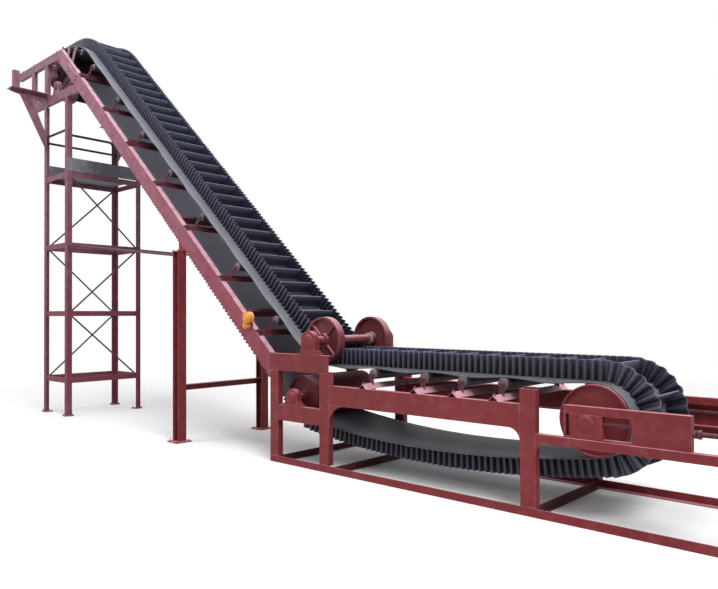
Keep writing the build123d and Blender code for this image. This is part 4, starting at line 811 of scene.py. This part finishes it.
class CONVEYOR_OT_bearings(bpy.types.Operator):
    """Build the caps, grease nipples and foot bolts of the bearings, and the press shaft's collars"""

    bl_idname = "conveyor.bearings"
    bl_label = "Bearing fittings"

    # node, body, radius of the cap
    PILLOWS = (("press_bearings", "press_roll", 0.058), ("bend_bearings", "bend_roll", 0.050),
               ("return_bearings", "return_roll", 0.050), ("head_bearings", "head_roll", 0.060))
    # depth and radius along each turned part, the cap's radii counted from its own
    CAP = ((-0.001, 0.012), (0.003, 0.012), (0.003, 0), (0.009, -0.003), (0.012, -0.016))
    CAP_CENTRE = (0.012, 0.002)
    NIPPLE = ((-0.002, 0.005), (0.004, 0.005), (0.004, 0.003), (0.012, 0.003), (0.015, 0.0015))
    BLOCK_DISC = ((-0.001, 0.044), (0.003, 0.042), (0.0045, 0.030), (0.0045, 0.002))
    COLLAR_PROUD, COLLAR_REACH, COLLAR_EDGE = 0.014, 0.028, 0.002
    # inset from the block's end, height and width of the foot bolts
    FOOT_BOLTS, LONG_FOOT_BOLTS = (0.016, 0.0195, 0.026), (-0.001, 0.016, 0.022)
    LONG_FEET = ("press_bearings", "bend_bearings")
    FOOT_SPREAD, FOOT_HEIGHT, FOOT_INSET, FOOT_CHAMFER = 0.018, 0.016, 0.004, 0.004

    def execute(self, context):
        caps, bolts = Batch(), Batch()
        for name, body, cap in self.PILLOWS:
            axis = JOINT_AT[body]
            profile = [(depth, cap + more) for depth, more in self.CAP] + [self.CAP_CENTRE]
            long_foot = name in self.LONG_FEET
            inset, seat, across = self.LONG_FOOT_BOLTS if long_foot else self.FOOT_BOLTS
            for low, high, face, way in side_solids(name):
                drive_side = name == "head_bearings" and way > 0
                if not drive_side:
                    caps.turned(profile, (axis.x, face, axis.z), (0, way, 0), 32)
                if long_foot:
                    self.long_foot(caps, low, high)
                middle = (low.y + high.y) / 2
                bolts.bolts((low.x + inset, high.x - inset), (middle,), low.z + seat, across)
                caps.turned(self.NIPPLE, (axis.x, middle, high.z), ALONG_Z, 10)
        tail = JOINT_AT["tail_roll"]
        for low, high, face, way in side_solids("takeup_bearings"):
            caps.turned(self.BLOCK_DISC, (tail.x, face, tail.z), (0, way, 0), 32)
        self.collars()
        caps.piece("bearing_caps", "red_oxide_steel", "primer")
        bolts.piece("bearing_bolts", "red_oxide_steel", "bolt")
        return {"FINISHED"}

    def long_foot(self, caps, low, high):
        """The thin end flanges of a foot that is longer than the block on it."""
        y0, y1 = low.y + self.FOOT_INSET, high.y - self.FOOT_INSET
        x0, x1 = low.x - self.FOOT_SPREAD, high.x + self.FOOT_SPREAD
        top, chamfer = self.FOOT_HEIGHT, self.FOOT_CHAMFER
        outline = [(x0, 0.0), (x1, 0.0), (x1, top - chamfer), (x1 - chamfer, top), (x0 + chamfer, top),
                   (x0, top - chamfer)]
        caps.prism(outline, (0, y0, low.z), ALONG_X, ALONG_Z, (0, y1 - y0, 0))

    def collars(self):
        """Bright locking collars on the press shaft, against the inner sides of its wheels."""
        rings = Batch()
        axle, radius = JOINT_AT["press_roll"], node_radius("press_shaft")
        proud, reach, edge = radius + self.COLLAR_PROUD, self.COLLAR_REACH, self.COLLAR_EDGE
        for low, high, face, way in side_solids("press_wheels"):
            inner = low.y + high.y - face
            rings.turned([(0.0, radius), (0.0, proud - edge), (edge, proud), (2 * reach, proud)],
                         (axle.x, inner - way * reach, axle.z), (0, way, 0), 32)
        rings.piece("shaft_collars", "shaft_steel", "zinc", "press_roll")


class CONVEYOR_OT_idlers(bpy.types.Operator):
    """Build the roller end caps, their spindle nuts and the bolts that hold the brackets"""

    bl_idname = "conveyor.idlers"
    bl_label = "Idler fittings"

    # depth and radius
    ROLLER_END = ((-0.001, 0.0435), (0.002, 0.0415), (0.002, 0.0345), (-0.0005, 0.0325), (0.006, 0.019),
                  (0.009, 0.017), (0.009, 0.0122))
    SPINDLE_NUT = ((0.0, 0.020), (0.0075, 0.020), (0.0095, 0.018))
    SHELL_END, LONGEST_SPINDLE, NUT_INSET, NUT_TURN = 0.430, 0.5, 0.011, 0.3
    MEMBER_BOLTS, MEMBER_BOLT_SINK = (-0.552, 0.552), 0.002

    def execute(self, context):
        ends, nuts = Batch(), Batch()
        for low, high in solids("idler_rollers"):
            centre = (low + high) / 2
            for side in SIDES:
                shell = side * min(self.SHELL_END, high.y)
                ends.turned(self.ROLLER_END, (centre.x, shell, centre.z), (0, side, 0), 24)
                if high.y < self.LONGEST_SPINDLE:
                    tip = (centre.x, side * (high.y - self.NUT_INSET), centre.z)
                    nuts.turned(self.SPINDLE_NUT, tip, (0, side, 0), 6, self.NUT_TURN)
        for low, high in solids("idler_members"):
            nuts.bolts(((low.x + high.x) / 2,), self.MEMBER_BOLTS, high.z - self.MEMBER_BOLT_SINK, 0.018)
        ends.piece("roller_ends", "dark_steel", "roller_end")
        nuts.piece("idler_nuts", "red_oxide_steel", "bolt")
        return {"FINISHED"}


class CONVEYOR_OT_joinery(bpy.types.Operator):
    """Build the weld beads of the frame, the anchor bolts of its feet and the studs on the upper chord"""

    bl_idname = "conveyor.joinery"
    bl_label = "Welds and anchors"

    UPRIGHTS = ("bend_posts", "mid_posts", "head_posts")
    LEVELS = ("lower_side_beams", "bend_beams", "tower_side_ties", "tail_rails")
    LEVEL_INSET = 0.004
    # the cross bars' beads: in from the rails, off the middle, from and to
    BAR_BEAD = (0.0065, 0.0045, 0.008, 0.060)
    # along from the saddle's end, shares of the way out, size
    SADDLE_BOLTS = (0.012, (0.99, 0.86), 0.016)
    # node, distance of the anchor bolts from the leg's middle
    FEET = (("trestle_legs", 0.074), ("tower_legs", 0.045))
    PLATE, ANCHOR = 0.012, 0.018
    CHORD_ABOVE, STUDS_ALONG, STUD_INSET = 5.0, (0.07, 0.51, 1.30), 0.025
    STUD = ((-0.001, 0.012), (0.010, 0.012), (0.010, 0.006), (0.034, 0.006), (0.036, 0.004))

    def execute(self, context):
        lines, bolts = [], Batch()
        for low, high, face, _ in side_solids(*self.UPRIGHTS):
            lines += [((low.x, face, z), (high.x, face, z)) for z in (low.z, high.z)]
        for low, high, face, _ in side_solids(*self.LEVELS):
            z0, z1 = low.z + self.LEVEL_INSET, high.z - self.LEVEL_INSET
            lines += [((x, face, z0), (x, face, z1)) for x in (low.x + WELD_RADIUS, high.x - WELD_RADIUS)]
        inset, off, z0, z1 = self.BAR_BEAD
        for low, high in solids("base_cross_bars"):
            x, reach = (low.x + high.x) / 2 - off, FRAME_HALF - inset
            lines += [((x, y, z0), (x, y, z1)) for y in (-reach, reach)]
        beads = Batch()
        for seed, (start, end) in enumerate(lines, 1):
            beads.weld(start, end, seed)
        inset, shares, size = self.SADDLE_BOLTS
        for low, high, face, _ in side_solids("trestle_saddles"):
            rows = [face * share for share in shares]
            bolts.bolts((low.x + inset, high.x - inset), rows, low.z + self.PLATE, size)
        for name, inset in self.FEET:
            for low, high in solids(name):
                xs, ys = ([middle - inset, middle + inset] for middle in ((low + high) / 2)[:2])
                bolts.bolts(xs, ys, self.PLATE, self.ANCHOR)
        studs = Batch()
        for low, high, face, way in side_solids("head_chords"):
            if high.z > self.CHORD_ABOVE:
                for along in self.STUDS_ALONG:
                    at = (low.x + along, face - way * self.STUD_INSET, high.z)
                    studs.turned(self.STUD, at, ALONG_Z, 12)
        beads.piece("weld_beads", "red_oxide_steel", "primer", smooth=True)
        bolts.piece("anchor_bolts", "red_oxide_steel", "bolt")
        studs.piece("chord_studs", "red_oxide_steel", "bolt")
        return {"FINISHED"}


class CONVEYOR_OT_braces(bpy.types.Operator):
    """Build the tower's crossed braces, leaning as in the photograph, and the stays to the trestle"""

    bl_idname = "conveyor.braces"
    bl_label = "Braces and stays"

    SWELL, SWELL_END, SWELL_FADES = 1.25, 0.006, 0.010

    def execute(self, context):
        rods, crossed, stays = Batch(), [], []
        for low, high in solids("bracing_rods"):
            (crossed if high.y > 0 > low.y else stays).append((low, high))
        middle = sum(low.x for low, _ in crossed) / len(crossed)
        levels = sorted({round(low.z, 2) for low, _ in crossed})
        for low, high in crossed:
            radius, x = (high.x - low.x) / 2, (low.x + high.x) / 2
            lean = 1 if (levels.index(round(low.z, 2)) + (low.x > middle)) % 2 == 0 else -1
            reach = lean * (high.y - radius)
            self.rod(rods, Vector((x, -reach, low.z + radius)), Vector((x, reach, high.z - radius)), radius)
        for low, high in stays:
            radius, y = (high.y - low.y) / 2, (low.y + high.y) / 2
            self.rod(rods, Vector((low.x, y, high.z - radius)), Vector((high.x, y, low.z + radius)), radius)
        piece = rods.piece("braces_and_stays", "dark_steel", "rod", smooth=True)
        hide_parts("bracing_rods")
        return {"FINISHED"}

    def rod(self, rods, start, end, radius):
        """A round bar with a swell of weld at each end."""
        along, swell = end - start, radius * self.SWELL
        half = [(0.0, swell), (self.SWELL_END, swell), (self.SWELL_FADES, radius)]
        rest = [(along.length - depth, size) for depth, size in reversed(half)]
        rods.turned(half + rest, start, along, 14)


class CONVEYOR_OT_takeup(bpy.types.Operator):
    """Build the threads and lock nuts of the take-up screws"""

    bl_idname = "conveyor.takeup"
    bl_label = "Take-up screws"

    RADIUS, PITCH, THREAD_INSET = 0.015, 0.006, 0.002
    # depth from each turn's start and radius beyond the screw's own
    THREAD = ((0.001, -0.001), (0.003, 0.0012), (0.005, -0.001))
    # depth and radius
    LOCK_NUT = ((0.0, 0.0262), (0.002, 0.0285), (0.021, 0.0285), (0.023, 0.0262))
    SQUARE_END = ((0.0, 0.0145), (0.006, 0.0145), (0.006, 0.0105), (0.022, 0.0105), (0.022, 0.009))
    # along from the frame's plate, and the turn of the nut
    LOCK_NUTS = ((0.0, 0.0), (0.030, 0.6))
    END_LENGTH = 0.024

    def execute(self, context):
        threads = Batch()
        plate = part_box("takeup_frames")[1].x
        for low, high in solids("takeup_screws"):
            _, y, z = (low + high) / 2
            count = int((high.x - low.x - 2 * self.THREAD_INSET) / self.PITCH)
            profile = [(0.0, self.RADIUS - 0.001)]
            profile += [(k * self.PITCH + depth, self.RADIUS + more) for k in range(count)
                        for depth, more in self.THREAD]
            threads.turned(profile, (low.x + self.THREAD_INSET, y, z), ALONG_X, 16)
            for along, turn in self.LOCK_NUTS:
                threads.turned(self.LOCK_NUT, (plate + along, y, z), ALONG_X, 6, turn)
            threads.turned(self.SQUARE_END, (high.x - self.END_LENGTH, y, z), ALONG_X, 4)
        threads.piece("takeup_threads", "grey_steel", "screw")
        return {"FINISHED"}


class CONVEYOR_OT_drive(bpy.types.Operator):
    """Build the motor's fins, fan cover and terminal lid, and the gearbox's ribs, flange and bolts"""

    bl_idname = "conveyor.drive"
    bl_label = "Drive"

    # outlines and turned parts in metres, each in its own axes
    FIN = ((0.114, -0.0015), (0.127, -0.0008), (0.127, 0.0008), (0.114, 0.0015))
    FINS, FIN_START, FIN_LENGTH, FIN_LOWEST, FIN_BACK = 36, 0.019, 0.098, -0.45, -0.80
    GRILLE_RINGS, GRILLE_FIRST, GRILLE_STEP, GRILLE_WIRE, GRILLE_DEPTH = 5, 0.030, 0.018, 0.006, 0.0018
    EYE, EYE_ALONG, EYE_UP = ((0.0, 0.016), (0.012, 0.016), (0.012, 0.011), (0.020, 0.011)), 0.060, 0.112
    LID = ((-0.050, -0.034), (0.050, -0.034), (0.050, 0.058), (-0.050, 0.058))
    LID_SINK, LID_DEPTH, LID_ALONG, LID_BOLTS = 0.012, 0.010, 0.069, ((-0.042, 0.042), (-0.026, 0.050))
    RIB = ((0.068, -0.004), (0.128, -0.003), (0.128, 0.003), (0.068, 0.004))
    PLUG = ((0.0, 0.028), (0.008, 0.028), (0.008, 0.012), (0.018, 0.012))
    FLANGE_TOP, FLANGE_FOOT, FLANGE_HALF, FACE_SINK = 0.147, 0.119, 0.009, 0.014

    def execute(self, context):
        x = JOINT_AT["head_roll"].x
        z = sum(corner.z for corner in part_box("motor_adapter")) / 2
        motor_low, motor_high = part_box("motor")
        start, lid_x = motor_low.y, motor_low.x
        fins, bolts, grille = Batch(), Batch(), Batch()
        for ray, flank in rays(self.FINS):
            if ray.z >= self.FIN_LOWEST and ray.x >= self.FIN_BACK:
                fins.prism(self.FIN, (x, start + self.FIN_START, z), ray, flank, ALONG_Y * self.FIN_LENGTH)
        for ring in range(self.GRILLE_RINGS):
            radius, deep = self.GRILLE_FIRST + self.GRILLE_STEP * ring, self.GRILLE_DEPTH
            inner = radius - self.GRILLE_WIRE
            grille.turned([(0.0, radius), (deep, radius), (deep, inner), (0.0, inner)],
                          (x, motor_high.y - 0.002, z), ALONG_Y, 32)
        fins.turned(self.EYE, (x, start + self.EYE_ALONG, z + self.EYE_UP), ALONG_Z, 12)
        lid_y = start + self.LID_ALONG
        lid_at = (lid_x + self.LID_SINK, lid_y, z)
        fins.prism(self.LID, lid_at, ALONG_Y, ALONG_Z, (-self.LID_DEPTH, 0, 0), 0.002)
        for dy in self.LID_BOLTS[0]:
            for dz in self.LID_BOLTS[1]:
                bolts.bolt((lid_x + 0.003, lid_y + dy, z + dz), 0.008, (-1, 0, 0), washer=False)
        for ray, _ in rays(8, FULL_TURN / 16):
            bolts.bolt(Vector((x, start - 0.016, z)) + ray * 0.088, 0.014, (0, -1, 0), washer=False)
        self.gearbox(x, z, fins, bolts)
        fins.piece("motor_fins", "drive_navy", "navy")
        bolts.piece("drive_bolts", "grey_steel", "zinc")
        grille.piece("fan_grille", "drive_navy", "dark")
        return {"FINISHED"}

    def gearbox(self, x, foot, shell, bolts):
        """A joint flange round the case, ribs and bolts on its face, and a plug."""
        axle = JOINT_AT["head_roll"].z
        low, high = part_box("gearbox")
        middle, face, half = (low.y + high.y) / 2, high.y - self.FACE_SINK, self.FLANGE_HALF
        outline = []
        for z, radius, begin in ((axle, self.FLANGE_TOP, 0), (foot, self.FLANGE_FOOT, math.pi)):
            for k in range(25):
                turn = begin + math.pi * k / 24
                outline.append((radius * math.cos(turn), z + radius * math.sin(turn)))
        shell.prism(outline, (x, middle - half, 0), ALONG_X, ALONG_Z, (0, 2 * half, 0), 0.001)
        for ray, flank in rays(6, FULL_TURN / 12):
            shell.prism(self.RIB, (x, face, axle), ray, flank, (0, 0.008, 0))
        for ray, _ in rays(10):
            bolts.bolt(Vector((x, face, axle)) + ray * 0.134, 0.011, ALONG_Y, washer=False)
        shell.turned(self.PLUG, (x + 0.03, middle - 0.04, axle + 0.135), ALONG_Z, 16)


class CONVEYOR_OT_stage(bpy.types.Operator):
    """Set the floor, the soft light and the camera at the photograph's angle"""

    bl_idname = "conveyor.stage"
    bl_label = "Stage"

    FLOOR_SIZE, SENSOR = 60.0, 36.0
    SHADOW_FADES = (6.5, 11.0)
    LIT_POINT = (-0.5, 0, 2.0)
    # name, place, size, power
    LAMPS = (("key", (9.0, -5.0, 12.0), 6.0, 1450.0), ("top", (-3.0, -1.0, 14.0), 9.0, 900.0),
             ("fill", (-8.0, -11.0, 6.0), 8.0, 420.0))

    def execute(self, context):
        stage = context.scene.conveyor_stage
        scene = context.scene
        self.floor()
        self.world(scene, stage.world_strength)
        for lamp in self.LAMPS:
            self.lamp(*lamp)
        self.camera(scene, stage)
        scene.view_settings.view_transform = "Standard"
        return {"FINISHED"}

    def shown(self, nodes):
        """1 for the rays that show the background: straight to the camera, or in metal and glass."""
        path = nodes.add("LightPath").outputs
        mirrored = nodes.math("MAXIMUM", path["Is Camera Ray"], path["Is Glossy Ray"], clamp=False)
        return nodes.math("MAXIMUM", mirrored, path["Is Transmission Ray"], clamp=False)

    def floor(self):
        """A floor that keeps the shadow near the object, goes to white further out and lights it little."""
        size = self.FLOOR_SIZE
        corners = [(-size, -size, 0), (size, -size, 0), (size, size, 0), (-size, size, 0)]
        floor = new_object("floor", corners, [(0, 1, 2, 3)])
        white = {"Base Color": (0.95, 0.95, 0.95, 1), "Roughness": 1.0, "Specular IOR Level": 0.0}
        material, nodes, shader = new_material("studio_floor", white)
        distance = nodes.add("VectorMath", {0: nodes.object_coords()}, operation="LENGTH").outputs["Value"]
        far = nodes.ramp(distance, *self.SHADOW_FADES)
        seen = nodes.mix_shaders(far, shader, nodes.add("Emission"))
        dull = nodes.add("BsdfDiffuse", {"Color": (0.42, 0.40, 0.40, 1)})
        nodes.show(nodes.mix_shaders(self.shown(nodes), dull, seen))
        floor.data.materials.append(material)

    def world(self, scene, strength):
        """White where the camera sees it; to the object, a sky that is brighter overhead than at its rim."""
        world = bpy.data.worlds.new("studio")
        world.use_nodes = True
        nodes = Nodes(world.node_tree)
        height = nodes.height(nodes.add("TexCoord").outputs["Generated"], -0.1, 1.0)
        sky = nodes.mix(height, (0.66, 0.67, 0.72), (1.0, 0.98, 0.98))
        lit = nodes.add("Background", {"Strength": strength, "Color": sky})
        seen = nodes.add("Background", {"Color": (1, 1, 1, 1)})
        nodes.show(nodes.mix_shaders(self.shown(nodes), lit, seen), "OutputWorld")
        scene.world = world

    def lamp(self, name, at, size, power):
        light = bpy.data.lights.new(name, "AREA")
        light.size = size
        light.energy = power
        lamp = bpy.data.objects.new(name, light)
        lamp.location = at
        aim = Vector(self.LIT_POINT) - Vector(at)
        lamp.rotation_euler = aim.to_track_quat("-Z", "Y").to_euler()
        bpy.context.scene.collection.objects.link(lamp)

    def camera(self, scene, stage):
        tilt = Matrix.Rotation(math.pi / 2 + stage.pitch, 4, "X") @ Matrix.Rotation(stage.roll, 4, "Z")
        basis = Matrix.Rotation(stage.yaw, 4, "Z") @ tilt
        data = bpy.data.cameras.new("camera")
        data.sensor_fit = "HORIZONTAL"
        data.sensor_width = self.SENSOR
        data.lens = stage.lens
        data.shift_y = stage.shift_up
        camera = bpy.data.objects.new("camera", data)
        camera.matrix_world = Matrix.Translation(Vector(stage.camera_at)) @ basis
        scene.collection.objects.link(camera)
        scene.camera = camera


class CONVEYOR_PT_panel(bpy.types.Panel):
    bl_idname = "CONVEYOR_PT_panel"
    bl_label = "Conveyor"
    bl_space_type = "VIEW_3D"
    bl_region_type = "UI"
    bl_category = "Conveyor"

    def draw(self, context):
        layout = self.layout
        for operator in OPERATORS:
            layout.operator(operator.bl_idname)


OPERATORS = (CONVEYOR_OT_steelwork, CONVEYOR_OT_belt, CONVEYOR_OT_sidewalls, CONVEYOR_OT_cleats,
             CONVEYOR_OT_bearings, CONVEYOR_OT_idlers, CONVEYOR_OT_joinery, CONVEYOR_OT_braces,
             CONVEYOR_OT_takeup, CONVEYOR_OT_drive, CONVEYOR_OT_stage)
GROUPS = (("conveyor_belt", BeltSettings), ("conveyor_finish", FinishSettings),
          ("conveyor_stage", StageSettings))
CLASSES = tuple(group for _, group in GROUPS) + OPERATORS + (CONVEYOR_PT_panel,)


def register():
    for cls in CLASSES:
        bpy.utils.register_class(cls)
    for name, group in GROUPS:
        setattr(bpy.types.Scene, name, PointerProperty(type=group))


def unregister():
    for name, _ in GROUPS:
        delattr(bpy.types.Scene, name)
    for cls in reversed(CLASSES):
        bpy.utils.unregister_class(cls)


def main():
    register()
    make_materials()
    for operator in OPERATORS:
        group, action = operator.bl_idname.split(".")
        getattr(getattr(bpy.ops, group), action)()


if __name__ == "__main__":
    main()
